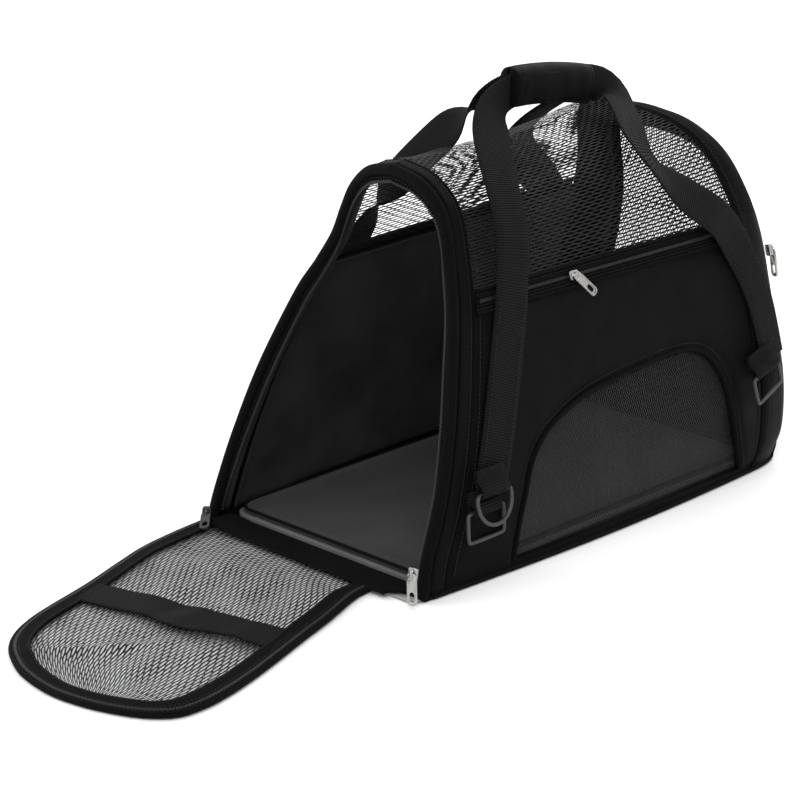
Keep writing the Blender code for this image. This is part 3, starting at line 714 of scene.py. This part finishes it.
def panel(name, side, cut_window):
    """Padded side: crowned between its seams, with soft ripples, thickened inwards and lined."""
    top = SIDE_STEPS - 0.15
    window = window_line(90)
    rows = []
    for s in spread(0.0, top, 56):
        row = []
        for t in spread(SEAM_FRONT + 0.001, SEAM_REAR - 0.001, 100):
            p = body(s, t)
            inside = min((s - 0.1) / 0.9, (top - s) / 0.6, (t - SEAM_FRONT) / 0.035, (SEAM_REAR - t) / 0.035)
            crown = 2.4 * smooth(inside) ** 0.6 - 0.9
            if cut_window:
                near = min((Vector((0, p.y, p.z)) - q).length for q in window)
                crown = min(crown, -1.6 + 3.4 * smooth(near / 16) ** 0.7)
            waves = ripple(p.y + p.z * 0.5, p.z - p.y * 0.35, 3 + side, 70, 1.6) \
                + ripple(p.y * 1.2, p.z, 9 + side, 30, 0.5)
            q = raised(body, s, t, min(crown + smooth(inside * 0.6) * waves, 2.3))
            row.append(Vector((side * q.x, q.y, q.z)))
        rows.append(row[::side])
    item = thicken(grid(name, rows, FABRIC, uv=side_uv), PANEL_THICK)
    item.data.materials.append(LINING)
    item.modifiers["thickness"].material_offset = 1
    return item


def cut_by_prism(item, outline, low, high):
    """Cuts a hole along X through a piece, over a (y, z) outline."""
    count = len(outline)
    vertices = [(x, p.y, p.z) for x in (low, high) for p in outline]
    faces = [list(range(count)), list(reversed(range(count, 2 * count)))]
    faces += [[(i + 1) % count, i, i + count, (i + 1) % count + count] for i in range(count)]
    cutter = made_of("window_cutter", vertices, faces, [[(0, 0)] * len(f) for f in faces], FABRIC)
    tidy = bmesh.new()
    tidy.from_mesh(cutter.data)
    bmesh.ops.recalc_face_normals(tidy, faces=tidy.faces)
    tidy.to_mesh(cutter.data)
    tidy.free()
    hole = item.modifiers.new("window", "BOOLEAN")
    hole.operation, hole.object = "DIFFERENCE", cutter
    bpy.context.view_layer.update()
    apply(item)
    bpy.data.objects.remove(cutter)
    item.data.set_sharp_from_angle(angle=math.radians(38))
    return item


def sides():
    """Both padded sides, the window's slack mesh behind its hole, and the rolled edge and seam round it."""
    near = cut_by_prism(panel("near_side", 1, True), window_line(90), 60, 160)
    finish(near, "bag", "fabric", "near_side_panel")
    far = apply(panel("far_side", -1, False))
    finish(far, "bag", "fabric", "far_side_panel")

    s_ends, t_ends = (0.2, 5.4), (0.16, 0.885)

    def slack_net(s, t):
        p, slack = body(s, t), 2.6 * hump(s, *s_ends) * hump(t, *t_ends)
        return raised(body, s, t, -5.4 + slack + ripple(p.y, p.z, 21, 45, 1.8))
    window = sheet_over("window_mesh", spread(*s_ends, 34), spread(*t_ends, 70), slack_net, MESH, uv=side_uv)
    finish(window, "bag", "mesh", "near_window_mesh")

    def edge(grow, height):
        return on_skin([(p.y, max(p.z, 6), height) for p in window_line(80, grow)])
    rolled = sweep("window_binding", *edge(-1.5, -1.7), circle(3.0, 12, 0.8), BINDING)
    finish(rolled, "bag", "fabric", "near_window_piping")
    sew("window_stitching", *edge(5.5, -0.1))


# ---------------------------------------------------------------- roof, bands and the top zip

def roof():
    """Mesh over the top: it sags between its seams and puckers a little along them."""
    low = SIDE_STEPS - 0.35

    def point(s, t):
        p, share = body(s, t), (t - SEAM_FRONT) / (SEAM_REAR - SEAM_FRONT)
        across = hump(s, SIDE_STEPS, 2 * APEX - SIDE_STEPS)
        tucked = 0.9 * smooth((SIDE_STEPS + 0.2 - min(s, 2 * APEX - s)) / 0.3)
        seams = min(across * 3, 1) * min(min(share, 1 - share) * 8, 1)
        folds = ripple(p.y + p.x * 0.4, p.z + p.x, 33, 55, 2.4) + ripple(p.y, p.x * 1.5, 40, 24, 0.9)
        return raised(body, s, t, seams * folds + tucked) - Vector((0, 0, ROOF_SAG * across * hump(share)))
    mesh = sheet_over("roof_net", spread(low, 2 * APEX - low, 72), between_seams(84), point, ROOF_MESH)
    finish(mesh, "bag", "mesh", "roof_mesh")


def between_seams(steps):
    return spread(SEAM_FRONT + 0.002, SEAM_REAR - 0.002, steps)


def bands():
    """Bands along the tops of the sides, with piping and stitches on them, and the zip of the near one."""
    ts = between_seams(60)
    edges = [("upper", SIDE_STEPS + 0.02, 1.7), ("lower", BAND_FOOT, 1.5)]
    zip_edges = [("zip_upper", ZIP_S + 0.13, 1.2), ("zip_lower", ZIP_S - 0.13, 1.2)]
    for side, label in SIDES:
        def across(s):
            return s if side > 0 else 2 * APEX - s
        values = [across(s) for s in spread(BAND_FOOT, SIDE_STEPS, 8)][::side]
        band = sheet_over(f"{label}_band", values, ts, lambda s, t: raised(body, s, t, 2.6), BINDING)
        finish(thicken(band, 1.4), "bag", "webbing", f"{label}_top_band")
        for word, s, radius in edges + (zip_edges if side > 0 else []):
            line, _ = along_skin(body, [(across(s), t) for t in ts], 2.6)
            finish(cord_of(f"{label}_band_{word}_piping", line, radius, BINDING), "bag", "webbing")
        for word, s in (("upper", SIDE_STEPS - 0.1), ("lower", SIDE_STEPS - 0.52)):
            sew(f"{label}_band_{word}_stitches", *along_skin(body, [(across(s), t) for t in ts], 2.75))
    line, outs = along_skin(body, [(ZIP_S, t) for t in spread(0.06, 0.885, 60)], 3.0)
    finish(teeth("top_zip_teeth", line, outs, 3.2, 1.6, 0.35), "bag", "webbing", "top_zip")


AROUND = spread(0.0, 2 * APEX, 190)


def front_gusset():
    """Narrow gusset between the doorway's rim and the sides."""
    def point(s, t):
        return raised(body, s, t, 0.9 * hump(t, GUSSET_FRONT, SEAM_FRONT) - 0.5)
    cloth = sheet_over("front_gusset_cloth", AROUND, spread(GUSSET_FRONT, SEAM_FRONT, 4), point, FABRIC)
    finish(thicken(cloth, 2.2), "bag", "fabric", "front_gusset")


def rear_gusset():
    """Wide gusset round the rear corner; over the roof it is grosgrain."""
    count, rows = 16, []
    for s in AROUND:
        rows.append([])
        for k, t in enumerate(spread(-0.005, 0.95, count)):
            p, across = gusset(s, clamp(t, 0.001, 1)), hump(k, 0, count)
            crown = 1.9 * across ** 0.6 - 0.8 + ripple(p.z + p.x, 3 * p.y, 52, 60, 1.2) * across
            rows[-1].append(raised(gusset, s, clamp(t, 0.01, 0.98), crown))
    rear = thicken(grid("rear_gusset_cloth", rows, FABRIC), 2.4)
    rear.data.materials.append(BINDING)
    for face in rear.data.polygons:
        face.material_index = int(SIDE_STEPS < AROUND[face.index // count] < 2 * APEX - SIDE_STEPS)
    finish(rear, "bag", "fabric", "rear_gusset")


def seams():
    """Rows of stitches beside the gussets' seams, and the piping in them."""
    for name, surface, t, height in (
            ("front_seam", body, SEAM_FRONT - 0.01, 0.35),
            ("front_panel_seam", body, SEAM_FRONT + 0.014, 1.1),
            ("rear_panel_seam", body, SEAM_REAR - 0.014, 1.1), ("rear_seam", gusset, 0.1, 0.9)):
        sew(f"{name}_stitches", *along_skin(surface, [(s, t) for s in AROUND[2:-2]], height))
    for name, t in (("front_seam_piping", SEAM_FRONT), ("rear_seam_piping", SEAM_REAR)):
        line, _ = along_skin(body, [(s, t) for s in AROUND], -0.6)
        finish(cord_of(name, line, 1.3, BINDING), "bag", "fabric")


def moved(points, inwards, inset, y):
    """The points of a rim moved towards the middle of its arch, and along the bag."""
    return [p + i * inset + Vector((0, y, 0)) for p, i in zip(points, inwards)]


def front_rim():
    """Bound edge of the doorway, with its half of the zip and the sleeve of its wire."""
    foot = Vector((0, 0.6, 3))
    inwards = [(FRONT_END_CENTRE - p).normalized() for p in FRONT]
    centres, sleeve = moved(FRONT, inwards, 5.0, 0), moved(FRONT, inwards, 7.4, 12)
    line = [centres[0] - foot, *centres, centres[-1] - foot]
    inwards = [inwards[0], *inwards, inwards[-1]]
    outs = [Vector((0, -1, 0))] * len(line)
    binding = sweep("front_rim_binding", line, inwards, circle(5.6, 14, 0.92), BINDING)
    finish(binding, "bag", "fabric", "front_rim")
    tape = sweep("front_zip_tape", moved(line, inwards, 7.6, 1.2), inwards, strap_section(7.0, 1.1), BINDING)
    finish(tape, "bag", "webbing")
    coil = teeth("front_zip_teeth", moved(line, inwards, 10.6, 1.0), outs, 3.0, 1.8, 0.3)
    finish(coil, "bag", "webbing")
    sew("front_zip_stitches", moved(line, inwards, 6.6, -0.1), outs, RIM_STITCH)
    finish(sweep("front_wire_sleeve", sleeve, inwards, circle(3.3), LINING), "bag", "fabric")
    recolour("front_frame_wire", STEEL)


def rear_rim():
    """Bound edge of the rear end, with its half of the zip and the sleeve of its wire."""
    inwards = [(REAR_END_CENTRE - p).normalized() for p in REAR_RIM]
    outs = [Vector((0, 1, 0))] * len(REAR_RIM)
    finish(cord_of("rear_rim_binding", REAR_RIM, 4.2, BINDING, count=12), "bag", "fabric", "rear_rim")
    coil = teeth("rear_zip_teeth", moved(REAR_RIM, inwards, 4.6, 2.4), outs, 2.8, 1.7, 0.3)
    finish(coil, "bag", "webbing")
    sleeve = moved(REAR_RIM, inwards, 5, -6)
    finish(sweep("rear_wire_sleeve", sleeve, inwards, circle(3.0), LINING), "bag", "fabric")
    recolour("rear_frame_wire", STEEL)


# ---------------------------------------------------------------- rear end

def rear_across(s, t):
    side = at(REAR_RIM, s)
    return Vector(((side.x - 5.2) * (1 - 2 * t), side.y + 1.5, side.z))


def rear_end():
    """Rear panel: cloth low down, mesh above, tape round its edge and where they meet, and its foot."""
    foot, split, top = 0.05, 2.0, APEX - 0.45

    def rear_sheet(name, low, high, steps, material):
        def point(s, t):
            p = rear_across(s, t)
            p.y += min(hump(t) * 3, 1) * ripple(p.x, p.z, 61, 50, 1.6) + 1.2 * hump(t)
            return p
        return sheet_over(name, spread(low, high, steps), spread(0, 1, 40), point, material,
                          uv=lambda p: (p.x, p.z))
    cloth = thicken(rear_sheet("rear_low_cloth", foot, split, 10, FABRIC), 2.4, 0)
    finish(cloth, "rear_door", "fabric", "rear_lower_panel")
    net = finish(rear_sheet("rear_net", split, top, 60, MESH), "rear_door", "mesh", "rear_mesh")
    line = [rear_across(s, 0) for s in spread(foot, top, 60)]
    line += [rear_across(s, 1) for s in spread(top, foot, 60)]
    inwards = [(REAR_END_CENTRE - p).normalized() for p in line]
    line = moved(line, inwards, 2.4, 0.6)
    tape = sweep("rear_edge_tape", line, inwards, strap_section(10.5, 1.8), BINDING)
    finish(tape, "rear_door", "webbing")
    line = [rear_across(split, t) + Vector((0, 1.4, 0)) for t in spread(0.02, 0.98, 30)]
    tape = sweep("rear_cross_tape", line, (0, 0, 1), strap_section(12, 1.6), BINDING)
    finish(tape, "rear_door", "webbing")
    rear_sill(rear_across(foot, 0.5))


def rear_sill(panel_foot):
    """Cloth from the floor's rear edge up to the rear panel's foot."""
    floor_y, floor_z = 243, 3.2

    def point(share, x):
        y = floor_y + (panel_foot.y + 1.5 - floor_y) * smooth(share * 1.6)
        corner = 7 * smooth((abs(x) - 0.88) / 0.12)
        return Vector((x * (134 - 3 * share), y - corner, floor_z + (panel_foot.z + 4 - floor_z) * share))
    sill = sheet_over("rear_sill_cloth", spread(0, 1, 14), spread(-1, 1, 40), point, FABRIC)
    apply(thicken(sill, 2.2, 0))
    finish(sill, None, "fabric", "rear_sill")
    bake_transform(sill)


# ---------------------------------------------------------------- front door flap

def flap(u, v, z):
    """World point of the open flap: u to the near side and v away from its foot, z over the floor."""
    x, y = u, DOOR_PIVOT_V - v
    c, s = math.cos(DOOR_SKEW), math.sin(DOOR_SKEW)
    turned = Vector((x * c - y * s, DOOR_HINGE_Y - DOOR_PIVOT_V + x * s + y * c, z))
    return Vector((u, DOOR_HINGE_Y - v, z)).lerp(turned, smooth(v / DOOR_PIVOT_V))


def flap_edge(inset):
    """The flap's edge as (u, v), moved inwards."""
    line = smooth_line([(u, v, 0) for u, v in FLAP_EDGE], 150)
    turned = Matrix.Rotation(math.pi / 2, 3, "Z")
    return [p + turned @ tangent(line, i).normalized() * inset for i, p in enumerate(line)]


def flap_sides(edge, v):
    """The far and near u of an edge line at v."""
    tip = max(range(len(edge)), key=lambda i: edge[i].y)
    result = []
    for part in (edge[tip:][::-1], edge[:tip + 1]):
        found = part[0].x if v < part[0].y else part[-1].x
        for p, q in zip(part, part[1:]):
            if p.y <= v <= q.y:
                found = p.x + (q.x - p.x) * (v - p.y) / max(q.y - p.y, 1e-9)
                break
        result.append(found)
    return result


OUTER_EDGE = flap_edge(0)


def flap_height(u, v):
    """Height of the flap's cloth: slack, in long folds, its near edge curled up, its far foot lifted."""
    far, near = flap_sides(OUTER_EDGE, clamp(v, 4, 331))
    share = clamp((u - far) / max(near - far, 1))
    tip = 334 - v
    inside = 4 * share * (1 - share) * smooth((v - 12) / 60) * smooth(tip / 60)
    long_folds, short_folds = Vector((u / 60, v / 85, 5.2)), Vector((u / 22, v / 40, 8.1))
    folds = 3.8 + 5 * noise.noise(long_folds) + 2 * noise.noise(short_folds)
    crease = 4.0 * math.exp(-(((v - 262) + 0.75 * (u + 30)) / 11) ** 2)
    crease *= smooth((u + 95) / 40) * smooth((40 - u) / 40)
    curl = 4.0 * smooth((near - u) / 15) * smooth((u - 20) / 50) * smooth((v - 20) / 60) * smooth(tip / 40)
    return 2.7 + inside * (folds + crease) + curl + lifted_foot(u) * smooth((45 - v) / 45)


def lifted_foot(u):
    return 1.8 * smooth((-u - 60) / 60)


def on_flap(item, slot, *replaced):
    """Applies a flap piece's modifiers, hides the CAD nodes that it stands for and bakes its place into its mesh.
    """
    if item.modifiers:
        apply(item)
    finish(item, None, slot, *replaced)
    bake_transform(item)
    return item


def flap_cloths():
    """The flap's two fields of mesh and the webbing band between them, which bulges."""
    for name, low, high, steps, material, node, size, area in (
            ("door_low_net", 8, BAND_LOW + 3, 40, FLAP_MESH, "door_lower_mesh", (0.215, 0.145), 0.029),
            ("door_high_net", BAND_HIGH - 3, 322, 48, FLAP_MESH, "door_upper_mesh", (0.21, 0.145), 0.0265),
            ("door_cross_band", BAND_LOW, BAND_HIGH, 10, WEBBING, "door_band", None, None)):
        inner = flap_edge(12 if area else 6)
        rows = []
        for v in spread(low, high, steps):
            far, near = flap_sides(inner, v)
            rows.append([])
            for share in spread(0, 1, 44):
                u = near + (far - near) * share
                z, shift = flap_height(u, v), 0.0
                if not area:
                    bulge = clamp(1 - ((u - 12) / 30) ** 2)
                    z += 1.4 + 2.5 * bulge * smooth((v - 150) / 20)
                    shift = 9 * bulge * (v - low) / (high - low)
                rows[-1].append(flap(u, v + shift, z))
        cloth = grid(name, rows, material)
        if area:
            on_flap(cloth, "mesh", node)
        else:
            on_flap(thicken(cloth, 1.8, 0), "webbing", node)


def flap_border():
    """Piping, tape, zip teeth and stitches round the flap's edge."""
    def edge(inset, over):
        return [flap(p.x, p.y, flap_height(p.x, p.y) + over) for p in flap_edge(inset)]
    outline, inner = edge(3.0, 0.2), edge(17, 0.2)
    inwards = [(q - p).normalized() for p, q in zip(outline, inner)]
    piping = sweep("door_edge_piping", outline, inwards, circle(3.0, 12, 0.9), BINDING)
    on_flap(piping, "fabric", "door_border")
    rows = [list(row) for row in zip(*[edge(inset, 1.2) for inset in (3, 6, 9, 12, 15, 18)])]
    on_flap(thicken(grid("door_edge_tape", rows, BINDING), 2.2, 0), "fabric")
    outs = [Vector((0, 0, 1))] * len(outline)
    on_flap(teeth("door_zip_teeth", edge(5.4, 2.6), outs, 2.8, 1.5, 0.3), "webbing")
    for word, inset in (("outer", 8.2), ("inner", 16.2)):
        row = dashes(f"door_{word}_stitches", edge(inset, 2.5), outs, THREAD, *RIM_STITCH)
        on_flap(row, "fabric")


def hinge_cloth():
    """Cloth that joins the flap's foot to the bag's floor."""
    def point(y, x):
        share = smooth((-236 - y) / 16)
        u = x * 117 - 4 * share - (10 * share if x > 0 else -2 * share) * abs(x)
        z = 6.4 - smooth((DOOR_HINGE_Y - y) / 13) + lifted_foot(u) + ripple(u, y * 2, 71, 30, 0.7)
        return Vector((u, y, z))
    strip = sheet_over("door_hinge_cloth", spread(-228, -256, 24), spread(1, -1, 44), point, FABRIC)
    apply(thicken(strip, 1.8, 0))
    finish(strip, None, "webbing", "door_hinge_strip")
    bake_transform(strip)


def grey_patch():
    """The grey patch under the doorway's near corner."""
    def point(b, a):
        return Vector((91 + 38 * a, -247 + 33 * b, 1.5 + ripple(a, b, 2, 1 / 3, 0.5)))
    patch = sheet_over("grey_patch", spread(0, 1, 12), spread(0, 1, 12), point, PATCH)
    finish(thicken(patch, 1.0, 0), "bag", "fabric")


# ---------------------------------------------------------------- handles

def leaning(line, side):
    """Width directions of a loop: its face looks sideways at the grip, and a little upwards at its seams."""
    result = []
    for i, p in enumerate(line):
        lean = clamp((abs(p.x) - 3) / 25) * (0.25 + (p.z - 235) / 160)
        outward = Vector((side * math.cos(lean), 0, math.sin(lean)))
        if side < 0 and p.y < 0:
            share = smooth((p.z - 252) / 40) * smooth((366 - p.z) / 26)
            outward = outward.lerp(Vector((0.15, -0.85, 0.5)), share)
        if side > 0 and p.y > 60:
            share = smooth((p.z - 270) / 40) * smooth((362 - p.z) / 20)
            outward = outward.lerp(Vector((0.3, 0.35, 0.9)), share)
        result.append(outward.cross(tangent(line, i)).normalized())
    return result


def strap_height(z):
    """Height of sewn webbing over the skin: it lifts over the band at the top of the side."""
    return 3.4 + 3.0 * smooth((z - 206) / 10)


def sewn(points, side):
    """Centre line of webbing sewn on a side, from its top to its foot, and its width directions."""
    centre, across = [], []
    for p in side_line(points, 14):
        over = strap_height(p.z)
        centre.append(skin(p.y, p.z, over, side)[0])
        ends = [skin(p.y + w, p.z, over, side)[0] for w in (-8, 8)]
        across.append((ends[0] - ends[1]).normalized())
    return centre, across


def handles():
    for side, label in SIDES:
        front = FRONT_STRAP if side > 0 else FAR_FRONT_STRAP
        loop = LOOP_LINE if side > 0 else FAR_LOOP_FRONT + LOOP_LINE[len(FAR_LOOP_FRONT):]
        handle(label, side, front, smooth_line([(side * x, y, z) for x, y, z in loop], 90))
        for points, word in ((front, "front"), (REAR_STRAP, "rear")):
            for offset, letter in ((-15.5, "a"), (15.5, "b")):
                places = [(p.y + offset, p.z, strap_height(p.z) + 1.2) for p in side_line(points, 14)[1:]]
                sew(f"{label}_{word}_strap_stitches_{letter}", *on_skin(places, side))
        grip(label, side)


def handle(label, side, front_points, loop):
    """One length of webbing: sewn up the front of a side, over the grip and down to the rear ring."""
    front, front_turns = (part[::-1] for part in sewn(front_points, side))
    rear, rear_turns = sewn(REAR_STRAP, side)
    turns = leaning(loop, side)
    # The front leg runs upwards and the rear one downwards, so the width keeps its sense over the loop.
    if front_turns[-1].dot(turns[0]) < 0:
        front_turns = [-v for v in front_turns]
    if rear_turns[0].dot(turns[-1]) < 0:
        rear_turns = [-v for v in rear_turns]
    line = front[:-1] + loop[1:-1] + rear[1:]
    turns = front_turns[:-1] + turns[1:-1] + rear_turns[1:]
    for _ in range(6):
        between = [(a + 2 * b + c).normalized() for a, b, c in zip(turns, turns[1:], turns[2:])]
        turns = [turns[0], *between, turns[-1]]
        between = [(a + 6 * b + c) / 8 for a, b, c in zip(line, line[1:], line[2:])]
        line = [line[0], *between, line[-1]]

    def section(i):
        open_share = clamp((abs(line[i].x) - GRIP_X) / 12) if line[i].z > 330 else 1
        return strap_section(FOLDED_WIDTH + (WEBBING_WIDTH - FOLDED_WIDTH) * open_share, WEBBING_THICK)
    strap = sweep(f"{label}_handle_webbing", line, turns, section, WEBBING)
    finish(strap, None, "webbing", f"{label}_handle_loop", f"{label}_front_strap", f"{label}_rear_strap")
    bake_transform(strap)


def grip_middle(y):
    """Middle of the wrap at y along it: tilted, and drooping towards its ends."""
    centre = (GRIP_START + GRIP_END) / 2
    return Vector((0, y, GRIP_Z + (y - centre) * math.tan(GRIP_TILT) - 0.0011 * (y - 50) ** 2))


def grip_fullness(share):
    """Thickness of the wrap as a share of its full one, less at its ends."""
    ends = clamp(min(share, 1 - share) / 0.07)
    return 0.72 + 0.28 * math.sqrt(max(1 - (1 - ends) ** 2, 0))


def grip(label, side):
    """Half of the padded wrap over its own loop, quilted by two rows of stitches round its face."""
    upward = Vector((1, 0, 0)).cross(Vector((0, math.cos(GRIP_TILT), math.sin(GRIP_TILT))))
    face = [(3.5, 18.0), (7.2, 17.0), (10.2, 14.6), (12.2, 10.5), (13.1, 5.5), (13.4, 0),
            (13.1, -5.5), (12.2, -10.5), (10.2, -14.6), (7.2, -17.0), (3.5, -18.0)]
    back = [(GRIP_INNER_X, -18.2), (GRIP_INNER_X, -16.3), (3.9, -16.0), (4.1, -8), (4.1, 0), (4.1, 8),
            (3.9, 16.0), (GRIP_INNER_X, 16.3)]
    rows = []
    for share in spread(0, 1, 44):
        y = GRIP_START - 1 + (GRIP_END - GRIP_START + 2) * share
        middle, full = grip_middle(y), grip_fullness(share)
        end_seam = math.exp(-((min(share, 1 - share) - 0.075) / 0.012) ** 2)
        row = []
        for x, z in [(GRIP_INNER_X, 18.2), *face, *back]:
            reach = (x - GRIP_INNER_X) * full
            if (x, z) in face:
                seam = math.exp(-((abs(z) - 12.5) / 1.3) ** 2) + end_seam
                reach += ripple(y, z, 80 + side, 18, 0.8) - seam * 0.9
            height = z * (0.94 + 0.06 * full)
            row.append(middle + Vector((side * (GRIP_INNER_X + reach), 0, 0)) + upward * height)
        rows.append(row[::side])
    pad = grid(f"{label}_grip_wrap", rows, FABRIC, closed=True, caps=True)
    subdivide(pad, "smoothing")
    finish(pad, f"{label}_handle", "fabric", f"{label}_grip_pad")
    for word, y_in, z_in in (("outer", 3.2, 15.4), ("inner", 8.0, 11.2)):
        low, high = GRIP_START + y_in, GRIP_END - y_in
        line, outs = [], []
        for y, z in dense([(low, -z_in), (high, -z_in), (high, z_in), (low, z_in)], 4):
            full = grip_fullness((y - GRIP_START) / (GRIP_END - GRIP_START))
            bulge = max(1 - (abs(z) / 18.3) ** 3.2, 0.02) ** 0.55
            reach = GRIP_INNER_X + 13.0 * bulge * full - 0.75
            line.append(grip_middle(y) + Vector((side * reach, 0, 0)) + upward * z)
            outs.append((Vector((side, 0, 0)) + upward * (z / 14) * 0.8).normalized())
        name = f"{label}_grip_{word}_stitches"
        sew(name, line + line[:1], outs + outs[:1], GRIP_STITCH, f"{label}_handle")


# ---------------------------------------------------------------- rings, tabs and sliders

def tab(name, side, place, over, tilt=0.0, up=17.0):
    """Folded webbing that holds a ring's bar to the side: out over the bar, round it and back."""
    y, z = place
    bar = Vector((side * (skin(y, z, 0)[0].x + over), y, z))
    path = [(-4.5, up + 3), (-3.2, up * 0.6), (0.4, 7), (3.0, 3.2), (3.6, 0), (2.4, -2.7), (0, -3.6),
            (-2.6, -2.6), (-4.4, 0.5), (-5.6, 6), (-6.4, up * 0.7), (-6.8, up + 2)]
    along = Vector((0, math.cos(tilt), math.sin(tilt)))
    rise = Vector((0, -math.sin(tilt), math.cos(tilt)))
    path = smooth_line([(a, 0, b) for a, b in path], 36)
    line = [bar + Vector((side * p.x, 0, 0)) + rise * p.z for p in path]
    finish(sweep(name, line, along, strap_section(TAB_WIDTH, 1.5), WEBBING), "bag", "webbing")


def rings():
    for side, label in SIDES:
        for node in ("front_d_ring", "front_square_ring", "rear_ring"):
            item = welded(recolour(f"{label}_{node}", PLASTIC))
            subdivide(item, "rounder")
            smooth_faces(item)
        tab(f"{label}_d_ring_tab", side, D_RING_PLACE, 10.0)
        tab(f"{label}_square_ring_tab", side, SQUARE_RING_PLACE, 4.8, up=14.0)
        tab(f"{label}_rear_ring_tab", side, REAR_RING_PLACE, 9.0, tilt=0.28)


def frame_at(origin, x_axis, z_axis):
    x = Vector(x_axis).normalized()
    y = Vector(z_axis).cross(x).normalized()
    z = x.cross(y)
    return Matrix.Translation(Vector(origin)) @ Matrix((x, y, z)).transposed().to_4x4()


def slider(name, centre, along, outward, down, material, slot, face=None):
    """Finishes a zip's slider and pull, with the bridge over the slider and the raised rims of the pull."""
    slider_name, pull_name = f"{name}_slider", f"{name}_pull"
    for node in (slider_name, pull_name):
        soften(recolour(node, material), 0.45)
    slider_body, pull_body = slider_name.replace("_zip", ""), pull_name.replace("_zip", "")
    place = frame_at(centre, along, outward)
    arch = [place @ Vector((4.2 * math.cos(a), 0, 1.7 + 3.1 * math.sin(a))) for a in spread(0, math.pi, 14)]
    across = place.to_3x3() @ Vector((0, 1, 0))
    finish(sweep(f"{name}_bridge", arch, across, strap_section(2.6, 0.9), material), slider_body, slot)
    pivot = Vector(centre) + Vector(outward).normalized() * 3.7
    face = Vector(face or outward)
    hang = frame_at(pivot, face.cross(Vector(down)), face)
    loop = dense([(x, y - 14.6) for x, y in rounded_rectangle(7.6, 23.0, 3.2)], 1.6)
    for word, z in (("front", 0.75), ("back", -0.75)):
        line = [hang @ Vector((x, y, z)) for x, y in loop]
        rim = cord_of(f"{pull_name}_{word}_rim", line, 0.55, material, cyclic=True, count=8)
        finish(rim, pull_body, slot)


def sliders():
    t, length = 0.5, 400
    for _ in range(40):
        t -= (body(ZIP_S, t).y - TOP_SLIDER_Y) / length
    along, outward = tangent([body(ZIP_S, t - 0.01), body(ZIP_S, t + 0.01)], 0), normal(body, ZIP_S, t)
    down = outward.cross(along).normalized()
    down = down if down.z < 0 else -down
    hang = down * math.cos(TOP_PULL_LEAN) + along.normalized() * math.sin(TOP_PULL_LEAN)
    low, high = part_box("top_zip_slider")
    slider("top_zip", (low + high) / 2 / MM, along, outward, hang, NICKEL, "nickel")
    slider("near_door_zip", (133, -251, 31), (0, 0.1, 1), (0.35, -1, 0.1), (0.1, -0.05, -1), NICKEL, "nickel")
    slider("far_door_zip", (-124, -249, 13), (0, 0.1, 1), (0.6, -0.8, 0.1), (0.7, -0.7, -0.16), BLACK_PULL,
           "plastic", (0, -0.2, 1))
    slider("rear_zip", (97, 266, 193), (0.25, 0.02, -1), (0.35, 1, 0.1), (0.15, 0.1, -1), NICKEL, "nickel")


# ---------------------------------------------------------------- floor, light and camera

def stage():
    floor = bpy.data.meshes.new("floor")
    floor.from_pydata([(-9, -9, 0), (9, -9, 0), (9, 9, 0), (-9, 9, 0)], [], [(0, 1, 2, 3)])
    item = bpy.data.objects.new("floor", floor)
    bpy.context.scene.collection.objects.link(item)
    paint = Shader("floor_paint", (0.9, 0.9, 0.9), 0.85, "Object")
    paint.colour(paint.noise(400, 2), (0.88, 0.88, 0.88), (0.92, 0.92, 0.92))
    floor.materials.append(paint.material)
    item.location.z = -0.0004

    world = bpy.data.worlds.new("studio")
    world.use_nodes = True
    world.node_tree.nodes["Background"].inputs[0].default_value = (1, 1, 1, 1)
    world.node_tree.nodes["Background"].inputs[1].default_value = 1.0
    scene = bpy.context.scene
    scene.world = world
    scene.view_settings.view_transform = "Standard"

    for name, place, target, size, power in (
            ("key", (1.6, -1.9, 2.3), (0, -0.05, 0.15), 1.6, 46),
            ("fill", (-2.2, -1.4, 1.5), (0, -0.1, 0.15), 2.0, 26),
            ("back", (-0.6, 2.4, 2.2), (0, 0, 0.2), 1.8, 40)):
        light = bpy.data.lights.new(name, "AREA")
        light.size, light.energy = size, power
        lamp = bpy.data.objects.new(name, light)
        lamp.location = place
        lamp.rotation_mode = "QUATERNION"
        lamp.rotation_quaternion = (Vector(target) - Vector(place)).to_track_quat("-Z", "Y")
        scene.collection.objects.link(lamp)

    camera = bpy.data.objects.new("camera", bpy.data.cameras.new("camera"))
    flat = math.cos(CAMERA_DROP)
    look = Vector((-math.sin(CAMERA_TURN) * flat, math.cos(CAMERA_TURN) * flat, -math.sin(CAMERA_DROP)))
    camera.location = CAMERA_PLACE
    camera.rotation_mode = "QUATERNION"
    camera.rotation_quaternion = look.to_track_quat("-Z", "Y")
    camera.data.lens, camera.data.sensor_width = CAMERA_LENS, CAMERA_SENSOR
    scene.collection.objects.link(camera)
    scene.camera = camera


for part in (stage, base, mat, sides, roof, bands, front_gusset, rear_gusset, seams, front_rim, rear_rim,
             rear_end, flap_cloths, flap_border, hinge_cloth, grey_patch, handles, rings, sliders):
    part()
